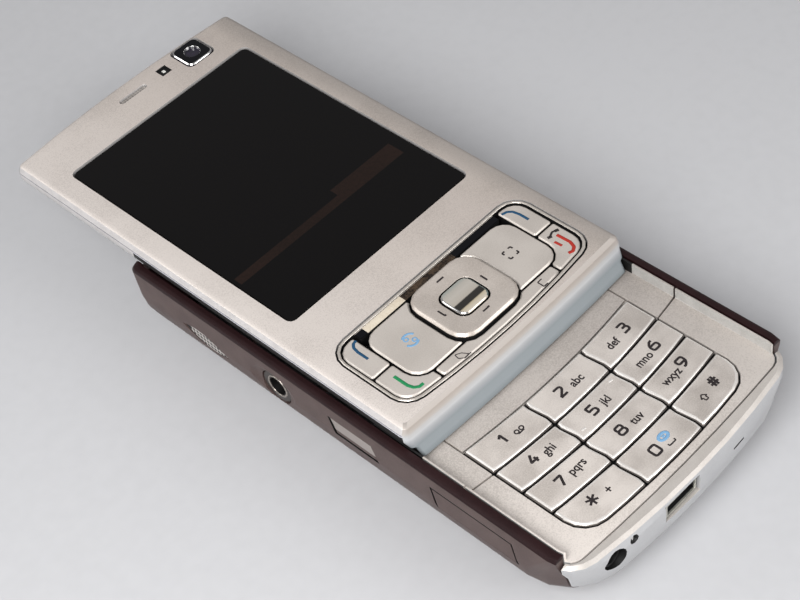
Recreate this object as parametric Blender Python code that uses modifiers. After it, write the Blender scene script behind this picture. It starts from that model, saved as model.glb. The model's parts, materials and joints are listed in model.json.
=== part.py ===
"""A slider phone, slid open over its keypad.

+X runs across the phone, +Y towards the display's top, +Z out of the front.
The origin is the centre of the base's flat back. Lengths are in metres.
"""
import math

import bmesh
import bpy
from mathutils import Matrix, Vector

# The base, from its flat back to the top of its side walls
BASE_LENGTH = 0.0990
BASE_WIDTH = 0.0530
RIM_HEIGHT = 0.0162
WALL_RISE = 0.0062
RIM_CORNER = 0.0050
BACK_CORNER = 0.0100
TOP_CORNER = 0.0015
TOP_BACK_CORNER = 0.0024
INNER_CORNER = 0.0003
TOP_BULGE = 0.0012
BOTTOM_BULGE = 0.0022
WALL = 0.0016
RIM_ROUND = 0.0008
DECK_DROP = 0.0021
KEY_RISE = 0.00035

# The slider, how much smaller it is than the base, and its travel
SLIDER_SHORTER = 0.0015
SLIDER_NARROWER = 0.0028
SLIDER_DEPTH = 0.00585
SLIDER_CORNER = 0.0012
OPEN_TRAVEL = 0.0306
MEDIA_TRAVEL = 0.0124

# Clearances and cuts
FIT_GAP = 0.0003
CUT_OVERRUN = 0.0010

# How finely round stretches are divided
CORNER_STEPS = 4
END_STEPS = 6
FILLET_STEPS = 6
ROUND_STEPS = 24
SMALL_ROUND_STEPS = 16

# The base's layers, from the back up and from the deck down
COVER_THICKNESS = 0.0012
ABOVE_BATTERY = 0.0117
TRAY_ROOF = 0.0008
BOARD_THICKNESS = 0.0008
BEZEL_THICKNESS = 0.0009
MAT_THICKNESS = 0.0004
CARRIAGE_THICKNESS = 0.0015

BASE_TOP = BASE_LENGTH / 2
BASE_BOTTOM = -BASE_LENGTH / 2
BASE_HALF = BASE_WIDTH / 2
BACK_ROUND = RIM_HEIGHT - WALL_RISE
BATTERY_DEPTH = RIM_HEIGHT - ABOVE_BATTERY
DECK_HALF = BASE_HALF - WALL - FIT_GAP
DECK_Z = RIM_HEIGHT - DECK_DROP
KEY_TOP_Z = DECK_Z + KEY_RISE
BATTERY_Z = COVER_THICKNESS + FIT_GAP
TRAY_ROOF_Z = BATTERY_Z + BATTERY_DEPTH + FIT_GAP
TRAY_TOP_Z = TRAY_ROOF_Z + TRAY_ROOF
BOARD_Z = TRAY_TOP_Z + FIT_GAP
BOARD_TOP_Z = BOARD_Z + BOARD_THICKNESS
BEZEL_Z = DECK_Z - BEZEL_THICKNESS
MAT_TOP_Z = BEZEL_Z - FIT_GAP
MAT_Z = MAT_TOP_Z - MAT_THICKNESS
SHIELD_TOP_Z = MAT_Z - FIT_GAP
CARRIAGE_Z = DECK_Z - CARRIAGE_THICKNESS
BOSS_TOP_Z = CARRIAGE_Z - FIT_GAP

# The slider's own levels
SLIDER_LENGTH = BASE_LENGTH - SLIDER_SHORTER
SLIDER_WIDTH = BASE_WIDTH - SLIDER_NARROWER
SLIDER_Z = KEY_TOP_Z + FIT_GAP
FACE_Z = SLIDER_Z + SLIDER_DEPTH
SLIDER_HALF = SLIDER_WIDTH / 2
SLIDER_TOP = BASE_TOP + OPEN_TRAVEL
SLIDER_BOTTOM = SLIDER_TOP - SLIDER_LENGTH
HOUSING_WALL = 0.0013
HOUSING_ROOF = 0.0010
PLATE_THICKNESS = 0.0009
SHOE_HEAD_THICKNESS = 0.0008
SLIDER_BOARD_THICKNESS = 0.0006
ROOF_UNDER_Z = FACE_Z - HOUSING_ROOF
PLATE_TOP_Z = SLIDER_Z + PLATE_THICKNESS
SHOE_HEAD_Z = PLATE_TOP_Z + FIT_GAP
SHOE_TOP_Z = SHOE_HEAD_Z + SHOE_HEAD_THICKNESS
SLIDER_BOARD_Z = SHOE_TOP_Z + FIT_GAP
SLIDER_BOARD_TOP_Z = SLIDER_BOARD_Z + SLIDER_BOARD_THICKNESS
CLUSTER_Z = SLIDER_BOARD_TOP_Z + FIT_GAP

# The end cap and the line where it meets the side walls
SPLIT_SETBACK = 0.0051
CAP_THICKNESS = 0.0026
DECK_BOTTOM_BULGE = 0.0009
DECK_CORNER = 0.0025
SPLIT_Y = BASE_BOTTOM + SPLIT_SETBACK
DECK_BOTTOM = BASE_BOTTOM + CAP_THICKNESS + FIT_GAP

# The keypad: rows from the top, columns out from the middle
KEYPAD_MARGIN = 0.00538
MIDDLE_SHARE = 0.3418
KEYPAD_SETBACK = 0.00434
ROW_DEPTHS = (0.00629, 0.00556, 0.00568, 0.00640)
ROW_SAG = 0.00118
SEAM_SWING = 0.00018
KEY_CORNER = 0.0045
KEY_BEVEL = 0.0005
KEYPAD_HALF = DECK_HALF - KEYPAD_MARGIN
MIDDLE_HALF = KEYPAD_HALF * MIDDLE_SHARE
KEYPAD_BOTTOM = BASE_BOTTOM + KEYPAD_SETBACK
KEY_NAMES = (("key_1", "key_2", "key_3"), ("key_4", "key_5", "key_6"),
             ("key_7", "key_8", "key_9"), ("key_star", "key_0", "key_hash"))

# The silver pieces round the keypad; they run up under the slider
UPSTAND_THICKNESS = 0.00035
UPSTAND_DROP = 0.0001
STRIP_THICKNESS = 0.0004
STRIP_REACH = 0.0089
RAIL_REACH = 0.0104
MAT_MARGIN = 0.0021
STRIP_TOP = SLIDER_BOTTOM + STRIP_REACH
RAIL_TOP = SLIDER_BOTTOM + RAIL_REACH

# The media keys behind the slider's top
MEDIA_PANEL_LENGTH = 0.0127
MEDIA_FIELD_MARGIN = 0.0036
MEDIA_FIELD_SETBACK = 0.0041
MEDIA_FIELD_LENGTH = 0.0058
MEDIA_PANEL_BOTTOM = BASE_TOP - MEDIA_PANEL_LENGTH
MEDIA_FIELD_HALF = DECK_HALF - MEDIA_FIELD_MARGIN
MEDIA_FIELD_TOP = BASE_TOP - MEDIA_FIELD_SETBACK
MEDIA_FIELD_BOTTOM = MEDIA_FIELD_TOP - MEDIA_FIELD_LENGTH
MEDIA_NAMES = ("rewind_key", "play_key", "forward_key", "stop_key")

# The slide carriage, its shoes and the stakes that hold it
CARRIAGE_REACH = 0.0112
CARRIAGE_GAP = 0.0023
SHOE_SETBACK = 0.0025
SHOE_LEAD = 0.0022
SHOE_INSET = 0.0070
STEM_WIDTH = 0.0010
SHOE_WIDTH = 0.0030
BOSS_INSET = 0.0018
BOSS_RADIUS = 0.0022
BOSS_LENGTH = 0.0052
BOSS_BELOW_SPEAKER = 0.0010
LOWER_BOSS_SHARE = 0.2875
STAKE_HEAD_RADIUS = 0.0012
STAKE_HEAD_DEPTH = 0.0006
STAKE_PIN_RADIUS = 0.0006
CARRIAGE_TOP = MEDIA_PANEL_BOTTOM - CARRIAGE_GAP
CARRIAGE_BOTTOM = SLIDER_BOTTOM + CARRIAGE_REACH
SHOE_TOP = CARRIAGE_TOP - SHOE_SETBACK
SHOE_BOTTOM = CARRIAGE_BOTTOM + SHOE_LEAD
SHOE_X = SLIDER_HALF - SHOE_INSET

# The camera in the back, its cover ring and blade
CAMERA_SETBACK = 0.0202
CAMERA_RADIUS = 0.0097
CAMERA_HEADROOM = 0.0003
CAMERA_FACE_Z = 0.00215
CAMERA_RIM = 0.0006
CAMERA_FLOOR = 0.0012
BARREL_RADIUS = 0.0055
RING_OUTER = 0.0088
RING_INNER = 0.0050
RING_Z = 0.0002
RING_THICKNESS = 0.0012
LENS_RADIUS = 0.0026
LENS_DEPTH = 0.0010
BLADE_RADIUS = 0.0030
BLADE_THICKNESS = 0.0003
BLADE_PIVOT_X = 0.0046
BLADE_PIN_RADIUS = 0.0004
BLADE_EYE_RADIUS = 0.0012
THUMB_WIDTH = 0.0030
THUMB_DEPTH = 0.0006
FLASH_X = 0.0132
FLASH_HALF_WIDTH = 0.0015
FLASH_HALF_LENGTH = 0.0030
FLASH_DEPTH = 0.0011
FLASH_Z = 0.0001
CAMERA_Y = BASE_TOP - CAMERA_SETBACK
CAMERA_DEPTH = BOARD_Z - CAMERA_HEADROOM

# The battery and its cover
COVER_INSET = 0.0066
COVER_BELOW_CAMERA = 0.0199
COVER_SETBACK = 0.0080
BATTERY_INSET = 0.0019
BATTERY_MARGIN = 0.0009
TRAY_WALL = 0.0011
COVER_HALF = BASE_HALF - COVER_INSET
COVER_TOP = CAMERA_Y - COVER_BELOW_CAMERA
COVER_BOTTOM = BASE_BOTTOM + COVER_SETBACK
BATTERY_HALF = COVER_HALF - BATTERY_INSET

# The main board
BOARD_INSET = 0.0044
BOARD_SETBACKS = (0.0070, 0.0043)
SHIELD_INSET = 0.0017
SHIELD_SETBACK = 0.0090
SHIELD_LENGTH = 0.0193
SWITCH_REACH = 0.0012
BOARD_HALF = DECK_HALF - BOARD_INSET
BOARD_BOTTOM = BASE_BOTTOM + BOARD_SETBACKS[0]
BOARD_TOP = BASE_TOP - BOARD_SETBACKS[1]
SHIELD_HALF = BOARD_HALF - SHIELD_INSET
SHIELD_BOTTOM = BASE_BOTTOM + SHIELD_SETBACK
SHIELD_TOP = SHIELD_BOTTOM + SHIELD_LENGTH

# The left and right walls: places along them as shares of the half length
SPEAKER_SHARE = 0.6222
SPEAKER_HALF = 0.0051
SPEAKER_RISE = 0.0013
SPEAKER_SLANT = 0.0008
SPEAKER_DROP = 0.0065
SPEAKER_BOX_SETBACK = 0.0008
SPEAKER_BOX_HALF = 0.0060
SPEAKER_BOX_DEPTH = 0.0035
SPEAKER_BOX_HEIGHT = 0.0034
GRILLE_RECESS = 0.0002
JACK_SHARE = 0.2842
JACK_DROP = 0.0060
JACK_RING_RADIUS = 0.0031
JACK_BORE_RADIUS = 0.00178
JACK_NECK_RADIUS = 0.0021
JACK_LENGTH = 0.0120
JACK_BODY_HALF = 0.0034
JACK_BODY_RADIUS = 0.0021
JACK_BORE_DEPTH = 0.0105
DISH_OFFSET = 0.0006
DISH_HALF_LENGTH = 0.0054
DISH_HALF_HEIGHT = 0.0035
DISH_DEPTH = 0.0006
WINDOW_SHARE = -0.0747
WINDOW_LENGTH = 0.0100
WINDOW_DROPS = (0.0064, 0.0034)
WINDOW_SLANT = 0.0011
WINDOW_RECESS = 0.0001
DOOR_SHARE = -0.5768
DOOR_LENGTH = 0.0165
DOOR_DROPS = (0.0072, 0.0032)
DOOR_SLANT = 0.0009
DOOR_THICKNESS = 0.0013
DOOR_HINGE_INSET = 0.0003
VOLUME_SHARE = 0.2727
VOLUME_HALF = 0.0052
SIDE_KEY_DROP = 0.0056
SIDE_KEY_HALF_HEIGHT = 0.0013
SIDE_KEY_PROUD = 0.0004
SIDE_KEY_ROUND = 0.0004
FLANGE_THICKNESS = 0.0003
FLANGE_SETBACK = WALL + FIT_GAP * 1.5
FLANGE_MARGIN = 0.0004
CAMERA_KEY_SHARE = -0.5455
CAMERA_KEY_HALF = 0.0042
POWER_X = 0
POWER_HALF = 0.0036
SPEAKER_Y = BASE_TOP * SPEAKER_SHARE
SPEAKER_Z = RIM_HEIGHT - SPEAKER_DROP
JACK_Y = BASE_TOP * JACK_SHARE
JACK_Z = RIM_HEIGHT - JACK_DROP
WINDOW_BOTTOM = BASE_TOP * WINDOW_SHARE - WINDOW_LENGTH / 2
WINDOW_TOP = WINDOW_BOTTOM + WINDOW_LENGTH
WINDOW_LOW_Z = RIM_HEIGHT - WINDOW_DROPS[0]
WINDOW_HIGH_Z = RIM_HEIGHT - WINDOW_DROPS[1]
DOOR_BOTTOM = BASE_TOP * DOOR_SHARE - DOOR_LENGTH / 2
DOOR_TOP = DOOR_BOTTOM + DOOR_LENGTH
DOOR_LOW_Z = RIM_HEIGHT - DOOR_DROPS[0]
DOOR_HIGH_Z = RIM_HEIGHT - DOOR_DROPS[1]
VOLUME_Y = BASE_TOP * VOLUME_SHARE
CAMERA_KEY_Y = BASE_TOP * CAMERA_KEY_SHARE
SIDE_KEY_Z = RIM_HEIGHT - SIDE_KEY_DROP
BOSS_X = DECK_HALF - BOSS_INSET
BOSS_Y = (CARRIAGE_BOTTOM + (CARRIAGE_TOP - CARRIAGE_BOTTOM) * LOWER_BOSS_SHARE,
          SPEAKER_Y - SPEAKER_BOX_HALF - BOSS_BELOW_SPEAKER - BOSS_RADIUS)

# The sockets in the end cap
USB_X = -0.0039
USB_DROP = 0.0048
USB_HALF_WIDTH = 0.00385
USB_HALF_HEIGHT = 0.00175
USB_DEPTH = 0.0076
USB_SHELL = 0.0004
USB_SETBACK = 0.0005
USB_TONGUE_HALF = 0.0024
USB_TONGUE_HEIGHT = 0.0008
CHARGER_INSET = 0.0085
CHARGER_DROP = 0.0052
CHARGER_RADIUS = 0.00175
CHARGER_BORE = 0.00125
CHARGER_DEPTH = 0.0023
CHARGER_SETBACK = 0.0019
STRAP_SPACING = 0.00365
STRAP_DROP = 0.0038
STRAP_RADIUS = 0.00085
STRAP_DEPTH = 0.0042
MIC_X = 0.00965
MIC_DROP = 0.00565
MIC_HALF_WIDTH = 0.0013
MIC_HALF_HEIGHT = 0.0002
USB_Z = RIM_HEIGHT - USB_DROP
CHARGER_X = CHARGER_INSET - BASE_HALF
CHARGER_Z = RIM_HEIGHT - CHARGER_DROP
STRAP_X = CHARGER_X + STRAP_SPACING
STRAP_Z = RIM_HEIGHT - STRAP_DROP
MIC_Z = RIM_HEIGHT - MIC_DROP

# The key cluster below the display
CLUSTER_SETBACK = 0.0046
CLUSTER_LENGTH = 0.01745
CLUSTER_MARGIN = 0.0041
CLUSTER_CORNER = 0.0032
CLUSTER_SAG = 0.00145
FRAME_WIDTH = 0.0005
FRAME_PROUD = 0.00015
CLUSTER_STRIP_INSET = 0.0050
CLUSTER_STRIP_DEPTH = 0.0014
STRIP_SINK = 0.0002
BIG_KEY_INSET = 0.0046
BIG_KEY_RISE = 0.0032
BIG_KEY_CORNER = 0.0030
SOFT_SEAM_RISE = 0.0088
CALL_LENGTH = 0.0075
NAV_HALF_WIDTH = 0.0072
NAV_HALF_HEIGHT = 0.0068
NAV_CORNER = 0.0035
NAV_PROUD = 0.0008
NAV_DISH = 0.0005
NAV_CREST = 0.0009
NAV_PAD_THICKNESS = 0.0005
CENTRE_HALF_WIDTH = 0.0032
CENTRE_HALF_HEIGHT = 0.0030
CENTRE_CORNER = 0.0015
CENTRE_PROUD = 0.0006
CLUSTER_BEVEL = 0.0003
CLUSTER_HALF = SLIDER_HALF - CLUSTER_MARGIN
CLUSTER_STRIP_HALF = CLUSTER_HALF - CLUSTER_STRIP_INSET
BIG_KEY_HALF = CLUSTER_HALF - BIG_KEY_INSET
CALL_INNER = CLUSTER_HALF - CALL_LENGTH
CLUSTER_BOTTOM = SLIDER_BOTTOM + CLUSTER_SETBACK
CLUSTER_TOP = CLUSTER_BOTTOM + CLUSTER_LENGTH
SOFT_SEAM_Y = CLUSTER_BOTTOM + SOFT_SEAM_RISE
BIG_KEY_BOTTOM = CLUSTER_BOTTOM + BIG_KEY_RISE
BIG_KEY_TOP = CLUSTER_TOP - CLUSTER_STRIP_DEPTH - FIT_GAP
NAV_Y = BIG_KEY_TOP - NAV_HALF_HEIGHT

# The display end of the slider
DISPLAY_MARGIN = 0.0047
DISPLAY_GAP = 0.00961
DISPLAY_SETBACK = 0.01134
DISPLAY_CORNER = 0.0010
WINDOW_SINK = 0.0002
WINDOW_THICKNESS = 0.0008
LCD_MARGIN = 0.0012
EARPIECE_X = -0.00035
EARPIECE_SETBACK = 0.00435
EARPIECE_HALF = 0.0031
EARPIECE_HALF_HEIGHT = 0.0006
EARPIECE_SINK = 0.0004
CAPSULE_HALF = 0.0050
CAPSULE_BELOW = 0.0032
CAPSULE_ABOVE = 0.0012
FRONT_CAMERA_INSET = 0.0114
FRONT_CAMERA_HALF = 0.0029
FRONT_CAMERA_SETBACK = 0.0046
FRONT_CAMERA_CORNER = 0.0012
FRONT_CAMERA_PROUD = 0.0002
FRONT_LENS_RADIUS = 0.0015
FRONT_LENS_SINK = 0.0006
SENSOR_SHARE = 0.5466
SENSOR_SETBACK = 0.00415
SENSOR_HALF = 0.0011
SENSOR_SINK = 0.0004
DISPLAY_HALF = SLIDER_HALF - DISPLAY_MARGIN
DISPLAY_BOTTOM = CLUSTER_TOP + DISPLAY_GAP
DISPLAY_TOP = SLIDER_TOP - DISPLAY_SETBACK
DISPLAY_LENGTH = DISPLAY_TOP - DISPLAY_BOTTOM
FRONT_CAMERA_X = SLIDER_HALF - FRONT_CAMERA_INSET
EARPIECE_EDGE = EARPIECE_X + EARPIECE_HALF
SENSOR_X = EARPIECE_EDGE + (FRONT_CAMERA_X - FRONT_CAMERA_HALF - EARPIECE_EDGE) * SENSOR_SHARE

# Finishes: colour, roughness, metallic
FINISHES = {
    "silver_paint": ((0.62, 0.59, 0.57), 0.38, 0.6),
    "pale_silver": ((0.70, 0.70, 0.71), 0.40, 0.4),
    "key_metal": ((0.56, 0.53, 0.50), 0.35, 0.6),
    "plum_plastic": ((0.060, 0.035, 0.038), 0.45, 0.0),
    "taupe_window": ((0.25, 0.23, 0.21), 0.20, 0.0),
    "chrome_plating": ((0.80, 0.80, 0.80), 0.08, 1.0),
    "black_glass": ((0.012, 0.010, 0.010), 0.06, 0.0),
    "lcd_grey": ((0.20, 0.21, 0.22), 0.50, 0.2),
    "board_green": ((0.04, 0.16, 0.09), 0.60, 0.0),
    "steel": ((0.50, 0.50, 0.51), 0.32, 1.0),
    "black_plastic": ((0.02, 0.02, 0.02), 0.50, 0.0),
    "grey_rubber": ((0.18, 0.18, 0.19), 0.80, 0.0),
    "battery_label": ((0.45, 0.46, 0.48), 0.60, 0.0),
    "lens_glass": ((0.05, 0.05, 0.09), 0.04, 0.0),
    "flash_plastic": ((0.80, 0.80, 0.78), 0.15, 0.0),
}

SIDEWAYS = Matrix(((0, 0, 1, 0), (1, 0, 0, 0), (0, 1, 0, 0), (0, 0, 0, 1)))
ENDWAYS = Matrix(((1, 0, 0, 0), (0, 0, -1, 0), (0, 1, 0, 0), (0, 0, 0, 1)))


# Scene and object helpers
def clear_scene():
    for thing in list(bpy.data.objects):
        bpy.data.objects.remove(thing, do_unlink=True)


def new_collection(name):
    collection = bpy.data.collections.new(name)
    bpy.context.scene.collection.children.link(collection)
    return collection


def finish_material(name):
    if name in bpy.data.materials:
        return bpy.data.materials[name]
    colour, roughness, metallic = FINISHES[name]
    material = bpy.data.materials.new(name)
    material.use_nodes = True
    shader = material.node_tree.nodes["Principled BSDF"]
    shader.inputs["Base Color"].default_value = (*colour, 1)
    shader.inputs["Roughness"].default_value = roughness
    shader.inputs["Metallic"].default_value = metallic
    return material


def mesh_from(name, shape):
    """Close a bmesh with its faces out, shaded smooth but for its edges."""
    bmesh.ops.recalc_face_normals(shape, faces=shape.faces)
    mesh = bpy.data.meshes.new(name)
    shape.to_mesh(mesh)
    shape.free()
    mesh.shade_smooth()
    mesh.set_sharp_from_angle(angle=math.radians(35))
    return mesh


def piece(name, mesh, finish, origin=(0, 0, 0)):
    """A named sub-part whose origin lies on its joint."""
    mesh.transform(Matrix.Translation(-Vector(origin)))
    mesh.name = name
    mesh.materials.clear()
    material = finish_material(finish).copy()
    material.name = name
    mesh.materials.append(material)
    thing = bpy.data.objects.new(name, mesh)
    thing.location = origin
    parts.objects.link(thing)
    return thing


def tool(name, mesh):
    """A cutter or an added form, kept out of the render."""
    thing = bpy.data.objects.new(name, mesh)
    thing.hide_render = True
    thing.display_type = "WIRE"
    guides.objects.link(thing)
    return thing


def combine(target, mesh, operation):
    modifier = target.modifiers.new(operation.title(), "BOOLEAN")
    modifier.operation = operation
    modifier.solver = "EXACT"
    modifier.object = tool(target.name + "_" + operation.lower(), mesh)
    return modifier.object


def cut(target, *meshes):
    combine(target, joined(meshes), "DIFFERENCE")


def add(target, *meshes):
    """Join meshes to the target; the added form comes back, so that it can be trimmed."""
    return combine(target, joined(meshes), "UNION")


def keep(target, mesh):
    combine(target, mesh, "INTERSECT")


def soften(target, width, segments=1, angle=40):
    modifier = target.modifiers.new("Bevel", "BEVEL")
    modifier.width = width
    modifier.segments = segments
    modifier.limit_method = "ANGLE"
    modifier.angle_limit = math.radians(angle)


# Meshes
def joined(meshes):
    """Several separate closed meshes as one."""
    shape = bmesh.new()
    for mesh in meshes:
        shape.from_mesh(mesh)
    return mesh_from("joined", shape)


def block_mesh(low, high):
    shape = bmesh.new()
    bmesh.ops.create_cube(shape, size=1)
    size = Vector(high) - Vector(low)
    middle = (Vector(high) + Vector(low)) / 2
    bmesh.ops.scale(shape, vec=size, verts=shape.verts)
    bmesh.ops.translate(shape, vec=middle, verts=shape.verts)
    return mesh_from("block", shape)


def centred_block(x, half_x, low_y, high_y, low_z, high_z):
    return block_mesh((x - half_x, low_y, low_z), (x + half_x, high_y, high_z))


def rod_mesh(radius, low, high, centre=(0, 0), turn=None, steps=SMALL_ROUND_STEPS):
    """A cylinder along Z, or along the axis that the turn gives it."""
    shape = bmesh.new()
    bmesh.ops.create_cone(shape, cap_ends=True, segments=steps,
                          radius1=radius, radius2=radius, depth=high - low)
    bmesh.ops.translate(shape, vec=(centre[0], centre[1], (low + high) / 2), verts=shape.verts)
    if turn:
        bmesh.ops.transform(shape, matrix=turn, verts=shape.verts)
    return mesh_from("rod", shape)


def outline_mesh(points, low, high, turn=None):
    """A flat outline, filled and raised from one height to another."""
    curve = bpy.data.curves.new("outline", "CURVE")
    curve.dimensions = "2D"
    curve.fill_mode = "BOTH"
    curve.extrude = (high - low) / 2
    spline = curve.splines.new("POLY")
    spline.points.add(len(points) - 1)
    for target, (x, y) in zip(spline.points, points):
        target.co = (x, y, 0, 1)
    spline.use_cyclic_u = True
    guide = bpy.data.objects.new("outline", curve)
    guides.objects.link(guide)
    depsgraph = bpy.context.evaluated_depsgraph_get()
    mesh = bpy.data.meshes.new_from_object(guide.evaluated_get(depsgraph))
    bpy.data.objects.remove(guide, do_unlink=True)
    shape = bmesh.new()
    shape.from_mesh(mesh)
    bmesh.ops.remove_doubles(shape, verts=shape.verts, dist=FIT_GAP / 30)
    bmesh.ops.dissolve_limit(shape, angle_limit=math.radians(1), verts=shape.verts,
                             edges=shape.edges)
    bmesh.ops.translate(shape, vec=(0, 0, (low + high) / 2), verts=shape.verts)
    if turn:
        bmesh.ops.transform(shape, matrix=turn, verts=shape.verts)
    return mesh_from("outline", shape)


def turned_mesh(profile, steps=ROUND_STEPS, closed=False, turn=None):
    """A profile of radius and height pairs, turned about Z."""
    shape = bmesh.new()
    dots = [shape.verts.new((radius, 0, height)) for radius, height in profile]
    for first, second in zip(dots, dots[1:]):
        shape.edges.new((first, second))
    if closed:
        shape.edges.new((dots[-1], dots[0]))
    mesh = bpy.data.meshes.new("profile")
    shape.to_mesh(mesh)
    shape.free()
    guide = bpy.data.objects.new("profile", mesh)
    guides.objects.link(guide)
    screw = guide.modifiers.new("Screw", "SCREW")
    screw.steps = steps
    screw.render_steps = steps
    screw.use_merge_vertices = True
    screw.merge_threshold = FIT_GAP / 30
    depsgraph = bpy.context.evaluated_depsgraph_get()
    solid = bpy.data.meshes.new_from_object(guide.evaluated_get(depsgraph))
    bpy.data.objects.remove(guide, do_unlink=True)
    shape = bmesh.new()
    shape.from_mesh(solid)
    if turn:
        bmesh.ops.transform(shape, matrix=turn, verts=shape.verts)
    return mesh_from("turned", shape)


def loft_mesh(rings, closed=False):
    """Skin rings with as many points each; a closed loft joins last to first."""
    shape = bmesh.new()
    rows = [[shape.verts.new(point) for point in ring] for ring in rings]
    pairs = list(zip(rows, rows[1:]))
    if closed:
        pairs.append((rows[-1], rows[0]))
    for lower, upper in pairs:
        for index, start in enumerate(lower):
            following = (index + 1) % len(lower)
            shape.faces.new((start, lower[following], upper[following], upper[index]))
    if not closed:
        shape.faces.new(rows[0][::-1])
        shape.faces.new(rows[-1])
    return mesh_from("loft", shape)


def at_height(points, z):
    return [(x, y, z) for x, y in points]


# Outlines
def corner(half_width, end, radius, bulge):
    """A corner's points, from the side round to an end that bulges outwards."""
    slope = 0
    for _ in range(4):
        meet_x = half_width - radius + radius * math.sin(slope)
        slope = math.atan(2 * bulge * meet_x / half_width ** 2)
    meet_x = half_width - radius + radius * math.sin(slope)
    centre_x = half_width - radius
    centre_y = end - bulge * (meet_x / half_width) ** 2 - radius * math.cos(slope)
    sweep = math.pi / 2 - slope
    angles = [sweep * step / CORNER_STEPS for step in range(CORNER_STEPS + 1)]
    return [(centre_x + radius * math.cos(a), centre_y + radius * math.sin(a)) for a in angles]


def plan_outline(half_width, top, bottom, radius, top_bulge=0, bottom_bulge=0, lower_radius=None):
    """A rounded rectangle whose ends may bulge, from the lower right corner round."""
    points = []
    upper = corner(half_width, top, radius, top_bulge)
    lower = corner(half_width, -bottom, lower_radius or radius, bottom_bulge)
    points += [(x, -y) for x, y in reversed(lower)]
    points += upper
    for step in range(1, END_STEPS):
        x = upper[-1][0] * (1 - 2 * step / END_STEPS)
        points.append((x, top - top_bulge * (x / half_width) ** 2))
    points += [(-x, y) for x, y in reversed(upper)]
    points += [(-x, -y) for x, y in lower]
    for step in range(1, END_STEPS):
        x = lower[-1][0] * (2 * step / END_STEPS - 1)
        points.append((x, bottom + bottom_bulge * (x / half_width) ** 2))
    return points


def base_outline(inset, height, wall=0, end_wall=0):
    """The base's plan at a height; its corners tighten towards the deck."""
    share = min(1, max(0, (height - BACK_ROUND) / (DECK_Z - BACK_ROUND)))
    lower_radius = BACK_CORNER + (RIM_CORNER - BACK_CORNER) * share - wall
    upper_radius = TOP_BACK_CORNER + (TOP_CORNER - TOP_BACK_CORNER) * share - wall
    return plan_outline(BASE_HALF - inset - wall, BASE_TOP - inset - wall,
                        BASE_BOTTOM + inset + wall + end_wall, max(upper_radius, INNER_CORNER),
                        TOP_BULGE, BOTTOM_BULGE, lower_radius)


def fillet_rings(wall=0, end_wall=0, start=0):
    """The rings that round the back into the sides, from the back up."""
    rings = []
    radius = BACK_ROUND - wall
    for step in range(start, FILLET_STEPS + 1):
        angle = math.pi / 2 * step / FILLET_STEPS
        height = BACK_ROUND - radius * math.cos(angle)
        inset = radius * (1 - math.sin(angle))
        rings.append(at_height(base_outline(inset, height, wall, end_wall), height))
    return rings


def mirrored(points):
    return [(-x, y) for x, y in reversed(points)]


def lens_outline(middle, half_length, half_height, height, slant):
    """An eye-shaped slot that climbs along Y, as y and z pairs."""
    steps = 6
    lower = []
    for step in range(steps):
        share = 2 * step / steps - 1
        drop = half_height * (1 - share ** 2)
        lower.append((middle + half_length * share, height + slant * share - drop))
    upper = [(2 * middle - y, 2 * height - z) for y, z in lower]
    return lower + upper


def slanted_outline(bottom, top, low, high, slant):
    return [(bottom, low), (top - slant, low), (top, high), (bottom + slant, high)]


def grown(low_y, high_y, low_z, high_z, margin):
    return [(low_y - margin, low_z - margin), (high_y + margin, low_z - margin),
            (high_y + margin, high_z + margin), (low_y - margin, high_z + margin)]


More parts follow.
